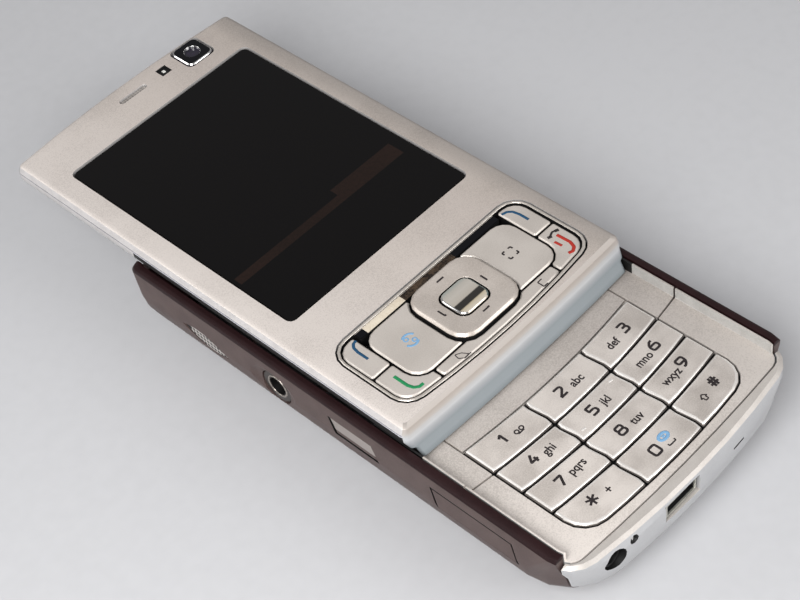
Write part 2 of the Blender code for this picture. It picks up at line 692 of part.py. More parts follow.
# The base's shells
def base_housing():
    rim = [(0, RIM_HEIGHT - RIM_ROUND), (RIM_ROUND / 3, RIM_HEIGHT - RIM_ROUND / 3),
           (RIM_ROUND, RIM_HEIGHT)]
    rings = fillet_rings()
    rings += [at_height(base_outline(inset, z), z) for inset, z in rim]
    rings.append(at_height(base_outline(0, RIM_HEIGHT, WALL), RIM_HEIGHT))
    rings += reversed(fillet_rings(WALL))
    shell = piece("base_housing", loft_mesh(rings), "plum_plastic")
    tray = centred_block(0, COVER_HALF + FIT_GAP + TRAY_WALL, COVER_BOTTOM - FIT_GAP - TRAY_WALL,
                         COVER_TOP + FIT_GAP + TRAY_WALL, -CUT_OVERRUN, TRAY_TOP_Z)
    bosses = [staked_boss(side * BOSS_X, y) for side in (-1, 1) for y in BOSS_Y]
    inside = fillet_rings(WALL / 2)
    inside.append(at_height(base_outline(0, RIM_HEIGHT, WALL / 2), RIM_HEIGHT))
    keep(add(shell, tray), loft_mesh(inside))
    add(shell, *bosses)
    cut(shell, block_mesh((-BASE_WIDTH, BASE_BOTTOM * 2, -CUT_OVERRUN),
                          (BASE_WIDTH, SPLIT_Y, RIM_HEIGHT + CUT_OVERRUN)),
        block_mesh((-DECK_HALF, BASE_TOP - WALL * 4, DECK_Z),
                   (DECK_HALF, BASE_TOP + CUT_OVERRUN, RIM_HEIGHT + CUT_OVERRUN)))
    cut(shell, outline_mesh(deck_outline(FIT_GAP * 0.9), CARRIAGE_Z - FIT_GAP,
                            RIM_HEIGHT + CUT_OVERRUN))
    cut(shell, centred_block(0, BATTERY_HALF + FIT_GAP, COVER_BOTTOM + BATTERY_MARGIN - FIT_GAP,
                             COVER_TOP - BATTERY_MARGIN + FIT_GAP, -CUT_OVERRUN, TRAY_ROOF_Z))
    cut(shell, cover_region(FIT_GAP, COVER_THICKNESS + FIT_GAP))
    outer = BASE_HALF + CUT_OVERRUN
    inner = BASE_HALF - WALL - CUT_OVERRUN
    speaker = lens_outline(SPEAKER_Y, SPEAKER_HALF + FIT_GAP, SPEAKER_RISE + FIT_GAP, SPEAKER_Z,
                           SPEAKER_SLANT)
    jack = rod_mesh(JACK_RING_RADIUS + FIT_GAP, -outer, -inner, (JACK_Y, JACK_Z), SIDEWAYS)
    window = slanted_outline(WINDOW_BOTTOM - FIT_GAP, WINDOW_TOP + FIT_GAP,
                             WINDOW_LOW_Z - FIT_GAP, WINDOW_HIGH_Z + FIT_GAP, WINDOW_SLANT)
    door = slanted_outline(DOOR_BOTTOM - FIT_GAP, DOOR_TOP + FIT_GAP,
                           DOOR_LOW_Z - FIT_GAP, DOOR_HIGH_Z + FIT_GAP, DOOR_SLANT)
    cut(shell, jack_dish())
    cut(shell, outline_mesh(speaker, -outer, -inner, SIDEWAYS),
        outline_mesh(speaker, inner, outer, SIDEWAYS), jack,
        outline_mesh(window, -outer, -inner, SIDEWAYS),
        outline_mesh(door, -outer, -inner, SIDEWAYS),
        side_key_slot(VOLUME_Y, VOLUME_HALF), side_key_slot(CAMERA_KEY_Y, CAMERA_KEY_HALF),
        block_mesh((POWER_X - POWER_HALF - FIT_GAP, BASE_TOP - WALL - CUT_OVERRUN,
                    SIDE_KEY_Z - SIDE_KEY_HALF_HEIGHT - FIT_GAP),
                   (POWER_X + POWER_HALF + FIT_GAP, BASE_TOP + CUT_OVERRUN,
                    SIDE_KEY_Z + SIDE_KEY_HALF_HEIGHT + FIT_GAP)))
    cut(shell, rod_mesh(CAMERA_RADIUS + FIT_GAP, -CUT_OVERRUN, CAMERA_DEPTH, (0, CAMERA_Y),
                        steps=ROUND_STEPS),
        centred_block(FLASH_X, FLASH_HALF_WIDTH + FIT_GAP, CAMERA_Y - FLASH_HALF_LENGTH - FIT_GAP,
                      CAMERA_Y + FLASH_HALF_LENGTH + FIT_GAP, -CUT_OVERRUN, WALL * 3))


def staked_boss(x, y):
    """A boss whose pin goes through the slide carriage and is staked over."""
    head = DECK_Z - FIT_GAP
    under = head - STAKE_HEAD_DEPTH
    profile = [(0, head), (STAKE_HEAD_RADIUS, head), (STAKE_HEAD_RADIUS, under),
               (STAKE_PIN_RADIUS, under), (STAKE_PIN_RADIUS, BOSS_TOP_Z),
               (BOSS_RADIUS, BOSS_TOP_Z), (BOSS_RADIUS, BOSS_TOP_Z - BOSS_LENGTH),
               (0, BOSS_TOP_Z - BOSS_LENGTH)]
    return turned_mesh(profile, 12, turn=Matrix.Translation((x, y, 0)))


def jack_dish():
    """A shallow oval dish in the left wall, round the headset jack."""
    face = -BASE_HALF
    shares = ((0.00, 1.00), (0.45, 0.90), (0.75, 0.50), (0.92, 0.20), (1.00, 0.00))
    profile = [(DISH_HALF_LENGTH * reach, face + DISH_DEPTH * depth) for reach, depth in shares]
    profile += [(DISH_HALF_LENGTH, face - CUT_OVERRUN), (0, face - CUT_OVERRUN)]
    squash = Matrix.Diagonal((1, DISH_HALF_HEIGHT / DISH_HALF_LENGTH, 1, 1))
    middle = Matrix.Translation((JACK_Y + DISH_OFFSET, JACK_Z + DISH_OFFSET / 2, 0))
    return turned_mesh(profile, turn=SIDEWAYS @ middle @ squash)


def side_key_slot(middle, half):
    return block_mesh(
        (BASE_HALF - WALL - CUT_OVERRUN, middle - half - FIT_GAP,
         SIDE_KEY_Z - SIDE_KEY_HALF_HEIGHT - FIT_GAP),
        (BASE_HALF + CUT_OVERRUN, middle + half + FIT_GAP,
         SIDE_KEY_Z + SIDE_KEY_HALF_HEIGHT + FIT_GAP))


def cover_region(gap, top):
    return centred_block(0, COVER_HALF + gap, COVER_BOTTOM - gap, COVER_TOP + gap,
                         -CUT_OVERRUN, top)


def battery_cover():
    rings = fillet_rings()
    top = at_height(base_outline(0, BACK_ROUND), RIM_HEIGHT)
    cover = piece("battery_cover", loft_mesh(rings + [top]), "plum_plastic")
    keep(cover, cover_region(0, COVER_THICKNESS))


def battery():
    cell = piece("battery", centred_block(
        0, BATTERY_HALF, COVER_BOTTOM + BATTERY_MARGIN, COVER_TOP - BATTERY_MARGIN,
        BATTERY_Z, BATTERY_Z + BATTERY_DEPTH), "battery_label")
    soften(cell, BATTERY_DEPTH / 6)


def deck_outline(gap):
    """The plan of the deck inside the side walls and the end cap."""
    return plan_outline(DECK_HALF + gap, BASE_TOP - WALL - FIT_GAP + gap, DECK_BOTTOM - gap,
                        INNER_CORNER + gap, TOP_BULGE, DECK_BOTTOM_BULGE,
                        DECK_CORNER + gap)


def end_cap():
    edge = CAP_THICKNESS / 3
    rim = [(0, DECK_Z - edge * 2), (edge / 3, DECK_Z - edge / 2), (edge, DECK_Z)]
    rings = fillet_rings()
    rings += [at_height(base_outline(inset, z), z) for inset, z in rim]
    rings += [at_height(deck_outline(FIT_GAP), z) for z in (DECK_Z, BEZEL_Z - FIT_GAP)]
    rings += reversed(fillet_rings(WALL, CAP_THICKNESS - WALL))
    cap = piece("end_cap", loft_mesh(rings), "pale_silver")
    cut(cap, block_mesh((-BASE_WIDTH, SPLIT_Y - FIT_GAP, -CUT_OVERRUN),
                        (BASE_WIDTH, BASE_LENGTH, RIM_HEIGHT)))
    front = BASE_BOTTOM - CUT_OVERRUN
    usb = [(USB_X - USB_HALF_WIDTH, USB_Z - USB_HALF_HEIGHT),
           (USB_X + USB_HALF_WIDTH, USB_Z - USB_HALF_HEIGHT),
           (USB_X + USB_HALF_WIDTH, USB_Z + USB_HALF_HEIGHT),
           (USB_X - USB_HALF_WIDTH, USB_Z + USB_HALF_HEIGHT)]
    cut(cap, outline_mesh(usb, -SPLIT_Y, -front, ENDWAYS),
        rod_mesh(CHARGER_RADIUS + FIT_GAP, -SPLIT_Y, -front, (CHARGER_X, CHARGER_Z), ENDWAYS),
        rod_mesh(STRAP_RADIUS, -BASE_BOTTOM - STRAP_DEPTH / 2, -front, (STRAP_X, STRAP_Z),
                 ENDWAYS, 8),
        block_mesh((MIC_X - MIC_HALF_WIDTH, front, MIC_Z - MIC_HALF_HEIGHT),
                   (MIC_X + MIC_HALF_WIDTH, BASE_BOTTOM + CUT_OVERRUN, MIC_Z + MIC_HALF_HEIGHT)))


# The keypad
def row_line(row, x):
    """The height on the deck of the line above a row; each line is a shallow arc."""
    return KEYPAD_BOTTOM + sum(ROW_DEPTHS[row:]) + ROW_SAG * (x / KEYPAD_HALF) ** 2


def seam_x(column_line, share):
    """The seams between columns swing once to each side in every row."""
    edge = (-KEYPAD_HALF, -MIDDLE_HALF, MIDDLE_HALF, KEYPAD_HALF)[column_line]
    if column_line in (0, 3):
        return edge
    return edge - SEAM_SWING * math.sin(2 * math.pi * share)


def key_outline(row, column):
    """One key between its two seams and two row lines, half a gap inside them."""
    inset = FIT_GAP / 2
    steps = 4
    points = []
    left_bottom = seam_x(column, 1) + inset
    right_bottom = seam_x(column + 1, 1) - inset
    rounded = row == len(ROW_DEPTHS) - 1 and column != 1
    if rounded:
        half = KEYPAD_HALF - inset
        arc = corner(half, -KEYPAD_BOTTOM - inset, KEY_CORNER,
                     ROW_SAG * (half / KEYPAD_HALF) ** 2)
        arc = [(x, -y) for x, y in reversed(arc)]
        inner = MIDDLE_HALF + inset
        middle = (inner + arc[0][0]) / 2
        lead = [(x, row_line(row + 1, x) + inset) for x in (inner, middle)]
        lower = lead + arc
        if column == 0:
            lower = mirrored(lower)
        points += lower
    else:
        for step in range(steps + 1):
            x = left_bottom + (right_bottom - left_bottom) * step / steps
            points.append((x, row_line(row + 1, x) + inset))
    for line, order in ((column + 1, (3, 2, 1)), (column, (1, 2, 3))):
        side = -inset if line == column + 1 else inset
        if line in (0, 3):
            rising = []
        else:
            rising = [(seam_x(line, step / steps) + side,
                       row_line(row, seam_x(line, 0)) + inset
                       - step / steps * ROW_DEPTHS[row]) for step in order]
        points += rising
        if line == column + 1:
            for step in range(steps, -1, -1):
                left = seam_x(column, 0) + inset
                right = seam_x(column + 1, 0) - inset
                x = left + (right - left) * step / steps
                points.append((x, row_line(row, x) - inset))
    return points


def bevel_top(mesh, width, segments=2):
    """Round only the edges round the top face."""
    shape = bmesh.new()
    shape.from_mesh(mesh)
    top = max(vert.co.z for vert in shape.verts)
    reach = width / 100
    rim = [edge for edge in shape.edges
           if all(abs(vert.co.z - top) < reach for vert in edge.verts)
           and edge.calc_face_angle(0) > math.radians(40)]
    bmesh.ops.bevel(shape, geom=rim, offset=width, segments=segments, profile=0.6,
                    affect="EDGES", clamp_overlap=True)
    return mesh_from("bevelled", shape)


def middle_of(points, z):
    xs = [point[0] for point in points]
    ys = [point[1] for point in points]
    return ((min(xs) + max(xs)) / 2, (min(ys) + max(ys)) / 2, z)


def keypad_keys():
    for row, names in enumerate(KEY_NAMES):
        for column, name in enumerate(names):
            points = key_outline(row, column)
            mesh = bevel_top(outline_mesh(points, BEZEL_Z, KEY_TOP_Z), KEY_BEVEL)
            piece(name, mesh, "key_metal", middle_of(points, BEZEL_Z))


def keypad_opening():
    """The hole in the silver pieces that the keys stand in."""
    gap = FIT_GAP / 2
    half = KEYPAD_HALF + gap
    sag = ROW_SAG * (half / KEYPAD_HALF) ** 2
    arc = corner(half, -KEYPAD_BOTTOM + gap, KEY_CORNER + FIT_GAP, sag)
    lower = [(x, -y) for x, y in reversed(arc)]
    points = list(lower)
    for step in range(END_STEPS + 1):
        x = half * (1 - 2 * step / END_STEPS)
        points.append((x, row_line(0, x) + gap))
    points += mirrored(lower)
    for step in range(1, END_STEPS):
        x = arc[-1][0] * (2 * step / END_STEPS - 1)
        points.append((x, row_line(len(ROW_DEPTHS), x) - gap))
    return points


def seam_region(gap, upper):
    """All of the deck on one side of the seam that follows the first row's lower line."""
    reach = BASE_HALF + CUT_OVERRUN
    side = 1 if upper else -1
    line = []
    for step in range(2 * END_STEPS + 1):
        x = reach * (step / END_STEPS - 1)
        line.append((x, row_line(1, x) + side * gap))
    far = BASE_LENGTH * side
    return line + [(reach, far), (-reach, far)]


def deck_tray():
    """A shallow tray over the whole deck, with a thin upstand inside the side walls."""
    top = RIM_HEIGHT - UPSTAND_DROP
    outer = deck_outline(0)
    inner = deck_outline(-UPSTAND_THICKNESS)
    return loft_mesh([at_height(outer, BEZEL_Z), at_height(outer, top), at_height(inner, top),
                      at_height(inner, DECK_Z)])


def lower_bezel():
    bezel = piece("lower_bezel", deck_tray(), "silver_paint")
    low, high = BEZEL_Z - CUT_OVERRUN, RIM_HEIGHT + CUT_OVERRUN
    cut(bezel, outline_mesh(seam_region(-FIT_GAP / 2, True), low, high))
    cut(bezel, outline_mesh(keypad_opening(), low, high))
    cut(bezel, block_mesh((-BASE_WIDTH, BASE_BOTTOM, DECK_Z), (BASE_WIDTH, SPLIT_Y, high)))


def upper_bezel():
    bezel = piece("upper_bezel", deck_tray(), "silver_paint")
    low, high = BEZEL_Z - CUT_OVERRUN, RIM_HEIGHT + CUT_OVERRUN
    cut(bezel, outline_mesh(seam_region(-FIT_GAP / 2, False), low, high))
    cut(bezel, outline_mesh(keypad_opening(), low, high))
    cut(bezel, block_mesh((-BASE_WIDTH, RAIL_TOP, low), (BASE_WIDTH, BASE_LENGTH, high)))
    cut(bezel, outline_mesh(strip_outline(FIT_GAP, CUT_OVERRUN),
                            DECK_Z - STRIP_THICKNESS - FIT_GAP, high))


def strip_outline(gap, overrun=0):
    half = KEYPAD_HALF - FIT_GAP / 2 + gap
    points = []
    for step in range(2 * END_STEPS + 1):
        x = half * (step / END_STEPS - 1)
        points.append((x, row_line(0, x) + FIT_GAP / 2 - overrun))
    return points + [(half, STRIP_TOP + gap), (-half, STRIP_TOP + gap)]


def keypad_strip():
    piece("keypad_strip", outline_mesh(strip_outline(0), DECK_Z - STRIP_THICKNESS, DECK_Z),
          "silver_paint")


def keypad_mat():
    half = DECK_HALF - MAT_MARGIN
    outline = plan_outline(half, RAIL_TOP - MAT_MARGIN, KEYPAD_BOTTOM, DECK_CORNER, 0,
                           DECK_BOTTOM_BULGE)
    mat = piece("keypad_mat", outline_mesh(outline, MAT_Z, MAT_TOP_Z), "grey_rubber")
    cut(mat, centred_block(USB_X, USB_HALF_WIDTH, BASE_BOTTOM,
                           BASE_BOTTOM + USB_SETBACK + USB_DEPTH + FIT_GAP,
                           MAT_Z - CUT_OVERRUN, MAT_TOP_Z + CUT_OVERRUN))


# The slide
def slide_carriage():
    plate = piece("slide_carriage", centred_block(0, DECK_HALF, CARRIAGE_BOTTOM, CARRIAGE_TOP,
                                                  CARRIAGE_Z, DECK_Z), "steel")
    for side in (-1, 1):
        x = side * SHOE_X
        add(plate, centred_block(x, STEM_WIDTH / 2, SHOE_BOTTOM, SHOE_TOP,
                                 DECK_Z - CARRIAGE_THICKNESS / 2, SHOE_TOP_Z - FIT_GAP))
        add(plate, centred_block(x, SHOE_WIDTH / 2, SHOE_BOTTOM, SHOE_TOP,
                                 SHOE_HEAD_Z, SHOE_TOP_Z))
    counterbore = DECK_Z - STAKE_HEAD_DEPTH - FIT_GAP * 2
    profile = [(0, DECK_Z + CUT_OVERRUN), (STAKE_HEAD_RADIUS + FIT_GAP, DECK_Z + CUT_OVERRUN),
               (STAKE_HEAD_RADIUS + FIT_GAP, counterbore), (STAKE_PIN_RADIUS + FIT_GAP, counterbore),
               (STAKE_PIN_RADIUS + FIT_GAP, CARRIAGE_Z - CUT_OVERRUN), (0, CARRIAGE_Z - CUT_OVERRUN)]
    cut(plate, *[turned_mesh(profile, 12, turn=Matrix.Translation((side * BOSS_X, y, 0)))
                 for side in (-1, 1) for y in BOSS_Y])


def media_panel():
    half = MEDIA_FIELD_HALF + FIT_GAP
    panel = piece("media_panel", outline_mesh(deck_outline(0), CARRIAGE_Z, DECK_Z), "plum_plastic")
    cut(panel, block_mesh((-BASE_WIDTH, BASE_BOTTOM * 2, CARRIAGE_Z - CUT_OVERRUN),
                          (BASE_WIDTH, MEDIA_PANEL_BOTTOM, DECK_Z + CUT_OVERRUN)))
    cut(panel, centred_block(0, half, MEDIA_FIELD_BOTTOM - FIT_GAP, MEDIA_FIELD_TOP + FIT_GAP,
                             CARRIAGE_Z - CUT_OVERRUN, DECK_Z + CUT_OVERRUN))


def media_keys():
    width = 2 * MEDIA_FIELD_HALF / len(MEDIA_NAMES)
    for index, name in enumerate(MEDIA_NAMES):
        left = -MEDIA_FIELD_HALF + index * width
        points = plan_rectangle(left + FIT_GAP / 2, left + width - FIT_GAP / 2,
                                MEDIA_FIELD_BOTTOM, MEDIA_FIELD_TOP)
        mesh = bevel_top(outline_mesh(points, CARRIAGE_Z, KEY_TOP_Z), KEY_BEVEL)
        piece(name, mesh, "black_plastic", middle_of(points, CARRIAGE_Z))


def plan_rectangle(left, right, bottom, top):
    return [(left, bottom), (right, bottom), (right, top), (left, top)]


# The base's inside
def main_board():
    board = piece("main_board", centred_block(0, BOARD_HALF, BOARD_BOTTOM, BOARD_TOP, BOARD_Z,
                                              BOARD_TOP_Z), "board_green")
    seat = BOARD_TOP_Z - BOARD_THICKNESS / 2
    flange = BASE_HALF - FLANGE_SETBACK - FLANGE_THICKNESS - FIT_GAP
    switches = []
    for middle, half in ((VOLUME_Y, VOLUME_HALF), (CAMERA_KEY_Y, CAMERA_KEY_HALF)):
        switches.append(block_mesh((BOARD_HALF - SWITCH_REACH, middle - half / 2, seat),
                                   (flange, middle + half / 2, SIDE_KEY_Z + SIDE_KEY_HALF_HEIGHT)))
    end = BASE_TOP - FLANGE_SETBACK - FLANGE_THICKNESS - FIT_GAP
    switches.append(centred_block(POWER_X, POWER_HALF / 2, BOARD_TOP - SWITCH_REACH, end, seat,
                                  SIDE_KEY_Z + SIDE_KEY_HALF_HEIGHT))
    shield = centred_block(0, SHIELD_HALF, SHIELD_BOTTOM, SHIELD_TOP, seat, SHIELD_TOP_Z)
    media = centred_block(0, MEDIA_FIELD_HALF, MEDIA_FIELD_BOTTOM,
                          MEDIA_FIELD_TOP - SWITCH_REACH, seat, CARRIAGE_Z - FIT_GAP)
    socket = block_mesh((SPEAKER_BOX_SETBACK + WALL - BASE_HALF, DOOR_BOTTOM + SWITCH_REACH, seat),
                        (SWITCH_REACH - BOARD_HALF, DOOR_TOP - SWITCH_REACH,
                         DOOR_HIGH_Z - SWITCH_REACH))
    add(board, shield, *switches)
    add(board, media)
    add(board, socket)
    jack_inner = -BASE_HALF + JACK_LENGTH + FIT_GAP
    cut(board, block_mesh((-BASE_HALF, JACK_Y - JACK_BODY_HALF - FIT_GAP, BOARD_Z - CUT_OVERRUN),
                          (jack_inner, JACK_Y + JACK_BODY_HALF + FIT_GAP, BOARD_TOP_Z + CUT_OVERRUN)))


def headset_jack():
    """A ring in the wall and a neck on a square body, with a blind bore."""
    ring_end = BASE_HALF - WALL
    body_end = ring_end - SPEAKER_BOX_SETBACK
    jack = piece("headset_jack", rod_mesh(JACK_RING_RADIUS, DISH_DEPTH - BASE_HALF, -ring_end,
                                          (JACK_Y, JACK_Z), SIDEWAYS, ROUND_STEPS),
                 "black_plastic")
    add(jack, rod_mesh(JACK_NECK_RADIUS, -ring_end - FIT_GAP, FIT_GAP - body_end,
                       (JACK_Y, JACK_Z), SIDEWAYS))
    add(jack, block_mesh((-body_end, JACK_Y - JACK_BODY_HALF, JACK_Z - JACK_BODY_RADIUS),
                         (-BASE_HALF + JACK_LENGTH, JACK_Y + JACK_BODY_HALF,
                          JACK_Z + JACK_BODY_RADIUS)))
    cut(jack, rod_mesh(JACK_BORE_RADIUS, -BASE_HALF - CUT_OVERRUN, -BASE_HALF + JACK_BORE_DEPTH,
                       (JACK_Y, JACK_Z), SIDEWAYS))


def usb_socket():
    """A pressed steel shell with a tongue inside."""
    front = -BASE_BOTTOM - USB_SETBACK
    back = front - USB_DEPTH
    width, height = USB_HALF_WIDTH - FIT_GAP, USB_HALF_HEIGHT - FIT_GAP
    shell = piece("usb_socket", outline_mesh(plan_rectangle(
        USB_X - width, USB_X + width, USB_Z - height, USB_Z + height), back, front, ENDWAYS), "steel")
    inner_width, inner_height = width - USB_SHELL, height - USB_SHELL
    cut(shell, outline_mesh(plan_rectangle(
        USB_X - inner_width, USB_X + inner_width, USB_Z - inner_height, USB_Z + inner_height),
        back + USB_SHELL, front + CUT_OVERRUN, ENDWAYS))
    add(shell, outline_mesh(plan_rectangle(
        USB_X - USB_TONGUE_HALF, USB_X + USB_TONGUE_HALF, USB_Z - USB_TONGUE_HEIGHT / 2,
        USB_Z + USB_TONGUE_HEIGHT / 2), back + USB_SHELL / 2, front - USB_SETBACK * 2, ENDWAYS))


def charger_socket():
    front = -BASE_BOTTOM - CHARGER_SETBACK
    back = front - CHARGER_DEPTH
    floor = back + USB_SHELL
    profile = [(0, floor), (CHARGER_BORE, floor), (CHARGER_BORE, front),
               (CHARGER_RADIUS, front), (CHARGER_RADIUS, back), (0, back)]
    mesh = turned_mesh(profile, SMALL_ROUND_STEPS,
                       turn=ENDWAYS @ Matrix.Translation((CHARGER_X, CHARGER_Z, 0)))
    piece("charger_socket", mesh, "steel")


def side_speaker(name, side):
    """A driver behind a side wall, with its eye-shaped grille in the wall."""
    face = side * (BASE_HALF - GRILLE_RECESS)
    inner = side * (BASE_HALF - WALL - SPEAKER_BOX_SETBACK)
    overlap = inner - side * FIT_GAP * 2
    back = inner - side * SPEAKER_BOX_DEPTH
    low = SPEAKER_Z - SPEAKER_BOX_HEIGHT / 2
    eye = lens_outline(SPEAKER_Y, SPEAKER_HALF, SPEAKER_RISE, SPEAKER_Z, SPEAKER_SLANT)
    speaker = piece(name, outline_mesh(eye, min(face, overlap), max(face, overlap), SIDEWAYS),
                    "black_plastic")
    add(speaker, block_mesh((min(inner, back), SPEAKER_Y - SPEAKER_BOX_HALF, low),
                            (max(inner, back), SPEAKER_Y + SPEAKER_BOX_HALF,
                             low + SPEAKER_BOX_HEIGHT)))


def infrared_window():
    outline = slanted_outline(WINDOW_BOTTOM, WINDOW_TOP, WINDOW_LOW_Z, WINDOW_HIGH_Z, WINDOW_SLANT)
    piece("infrared_window", outline_mesh(outline, -BASE_HALF + WINDOW_RECESS,
                                          -BASE_HALF + WALL, SIDEWAYS), "taupe_window")


def card_door():
    outline = slanted_outline(DOOR_BOTTOM, DOOR_TOP, DOOR_LOW_Z, DOOR_HIGH_Z, DOOR_SLANT)
    mesh = outline_mesh(outline, -BASE_HALF, -BASE_HALF + DOOR_THICKNESS, SIDEWAYS)
    piece("card_door", mesh, "plum_plastic",
          (-BASE_HALF, DOOR_BOTTOM + DOOR_HINGE_INSET, (DOOR_LOW_Z + DOOR_HIGH_Z) / 2))


def side_key(name, middle, half):
    """A key through the right wall, held by a flange inside it."""
    low, high = SIDE_KEY_Z - SIDE_KEY_HALF_HEIGHT, SIDE_KEY_Z + SIDE_KEY_HALF_HEIGHT
    inner = BASE_HALF - FLANGE_SETBACK
    cap = block_mesh((inner - FIT_GAP / 2, middle - half, low),
                     (BASE_HALF + SIDE_KEY_PROUD, middle + half, high))
    key = piece(name, cap, "plum_plastic", (inner, middle, SIDE_KEY_Z))
    soften(key, SIDE_KEY_ROUND)
    flange = grown(middle - half, middle + half, low, high, FLANGE_MARGIN)
    add(key, outline_mesh(flange, inner - FLANGE_THICKNESS, inner, SIDEWAYS))


def power_key():
    low, high = SIDE_KEY_Z - SIDE_KEY_HALF_HEIGHT, SIDE_KEY_Z + SIDE_KEY_HALF_HEIGHT
    inner = BASE_TOP - FLANGE_SETBACK
    cap = block_mesh((POWER_X - POWER_HALF, inner - FIT_GAP / 2, low),
                     (POWER_X + POWER_HALF, BASE_TOP + SIDE_KEY_PROUD, high))
    key = piece("power_key", cap, "plum_plastic", (POWER_X, inner, SIDE_KEY_Z))
    soften(key, SIDE_KEY_ROUND)
    flange = grown(POWER_X - POWER_HALF, POWER_X + POWER_HALF, low, high, FLANGE_MARGIN)
    add(key, outline_mesh(flange, -inner, -inner + FLANGE_THICKNESS, ENDWAYS))


# The camera in the back
def rear_camera():
    """A turned cup on a barrel, open to the back, with the blade's pin on its face."""
    top = CAMERA_DEPTH - FIT_GAP
    step = CAMERA_FACE_Z + CAMERA_FLOOR
    bore = LENS_RADIUS + FIT_GAP
    seat = CAMERA_FACE_Z + LENS_DEPTH + FIT_GAP
    inner = CAMERA_RADIUS - CAMERA_RIM
    profile = [(0, top), (BARREL_RADIUS, top), (BARREL_RADIUS, step), (CAMERA_RADIUS, step),
               (CAMERA_RADIUS, RING_Z), (inner, RING_Z), (inner, CAMERA_FACE_Z),
               (bore, CAMERA_FACE_Z), (bore, seat), (0, seat)]
    camera = piece("rear_camera", turned_mesh(
        profile, turn=Matrix.Translation((0, CAMERA_Y, 0))), "black_plastic")
    add(camera, rod_mesh(BLADE_PIN_RADIUS, RING_Z + RING_THICKNESS + FIT_GAP / 2,
                         CAMERA_FACE_Z + FIT_GAP, (BLADE_PIVOT_X, CAMERA_Y), steps=8))


def camera_lens():
    """A shallow dome of glass behind the blade."""
    low = CAMERA_FACE_Z + FIT_GAP
    high = CAMERA_FACE_Z + LENS_DEPTH
    profile = [(0, high), (LENS_RADIUS, high), (LENS_RADIUS, low + LENS_DEPTH / 4),
               (LENS_RADIUS * 0.6, low + LENS_DEPTH / 10), (0, low)]
    piece("camera_lens", turned_mesh(profile, SMALL_ROUND_STEPS,
                                     turn=Matrix.Translation((0, CAMERA_Y, 0))), "lens_glass")


def lens_ring():
    """The ring that is turned to uncover the lens, with a thumb piece."""
    high = RING_Z + RING_THICKNESS
    slope = RING_THICKNESS / 2
    profile = [(RING_OUTER, high), (RING_OUTER, RING_Z + slope / 2), (RING_OUTER - slope, RING_Z),
               (RING_INNER + slope, RING_Z + slope / 2), (RING_INNER, high)]
    ring = piece("lens_ring", turned_mesh(profile, closed=True,
                                          turn=Matrix.Translation((0, CAMERA_Y, 0))),
                 "steel", (0, CAMERA_Y, RING_Z))
    middle = (RING_OUTER + RING_INNER) / 2
    add(ring, block_mesh((-middle - THUMB_WIDTH / 3, CAMERA_Y - THUMB_WIDTH / 2, RING_Z - RING_Z / 2),
                         (-middle + THUMB_WIDTH / 3, CAMERA_Y + THUMB_WIDTH / 2,
                          RING_Z + THUMB_DEPTH)))


def lens_blade():
    low = RING_Z + RING_THICKNESS + FIT_GAP
    high = low + BLADE_THICKNESS
    blade = piece("lens_blade", rod_mesh(BLADE_RADIUS, low, high, (0, CAMERA_Y)), "black_plastic",
                  (BLADE_PIVOT_X, CAMERA_Y, low))
    add(blade, rod_mesh(BLADE_EYE_RADIUS, low, high, (BLADE_PIVOT_X, CAMERA_Y), steps=12))
    add(blade, block_mesh((BLADE_RADIUS / 2, CAMERA_Y - BLADE_EYE_RADIUS, low),
                          (BLADE_PIVOT_X, CAMERA_Y + BLADE_EYE_RADIUS, high)))
    cut(blade, rod_mesh(BLADE_PIN_RADIUS + FIT_GAP, low - CUT_OVERRUN, high + CUT_OVERRUN,
                        (BLADE_PIVOT_X, CAMERA_Y), steps=8))


def flash_window():
    glass = piece("flash_window", centred_block(
        FLASH_X, FLASH_HALF_WIDTH, CAMERA_Y - FLASH_HALF_LENGTH, CAMERA_Y + FLASH_HALF_LENGTH,
        FLASH_Z, FLASH_Z + FLASH_DEPTH), "flash_plastic")
    soften(glass, FLASH_HALF_WIDTH / 5)


# The slider's shells
def slider_outline(inset, bottom_rise=0):
    return plan_outline(SLIDER_HALF - inset, SLIDER_TOP - inset, SLIDER_BOTTOM + bottom_rise,
                        SLIDER_CORNER - min(inset, SLIDER_CORNER / 2), TOP_BULGE, TOP_BULGE / 2)


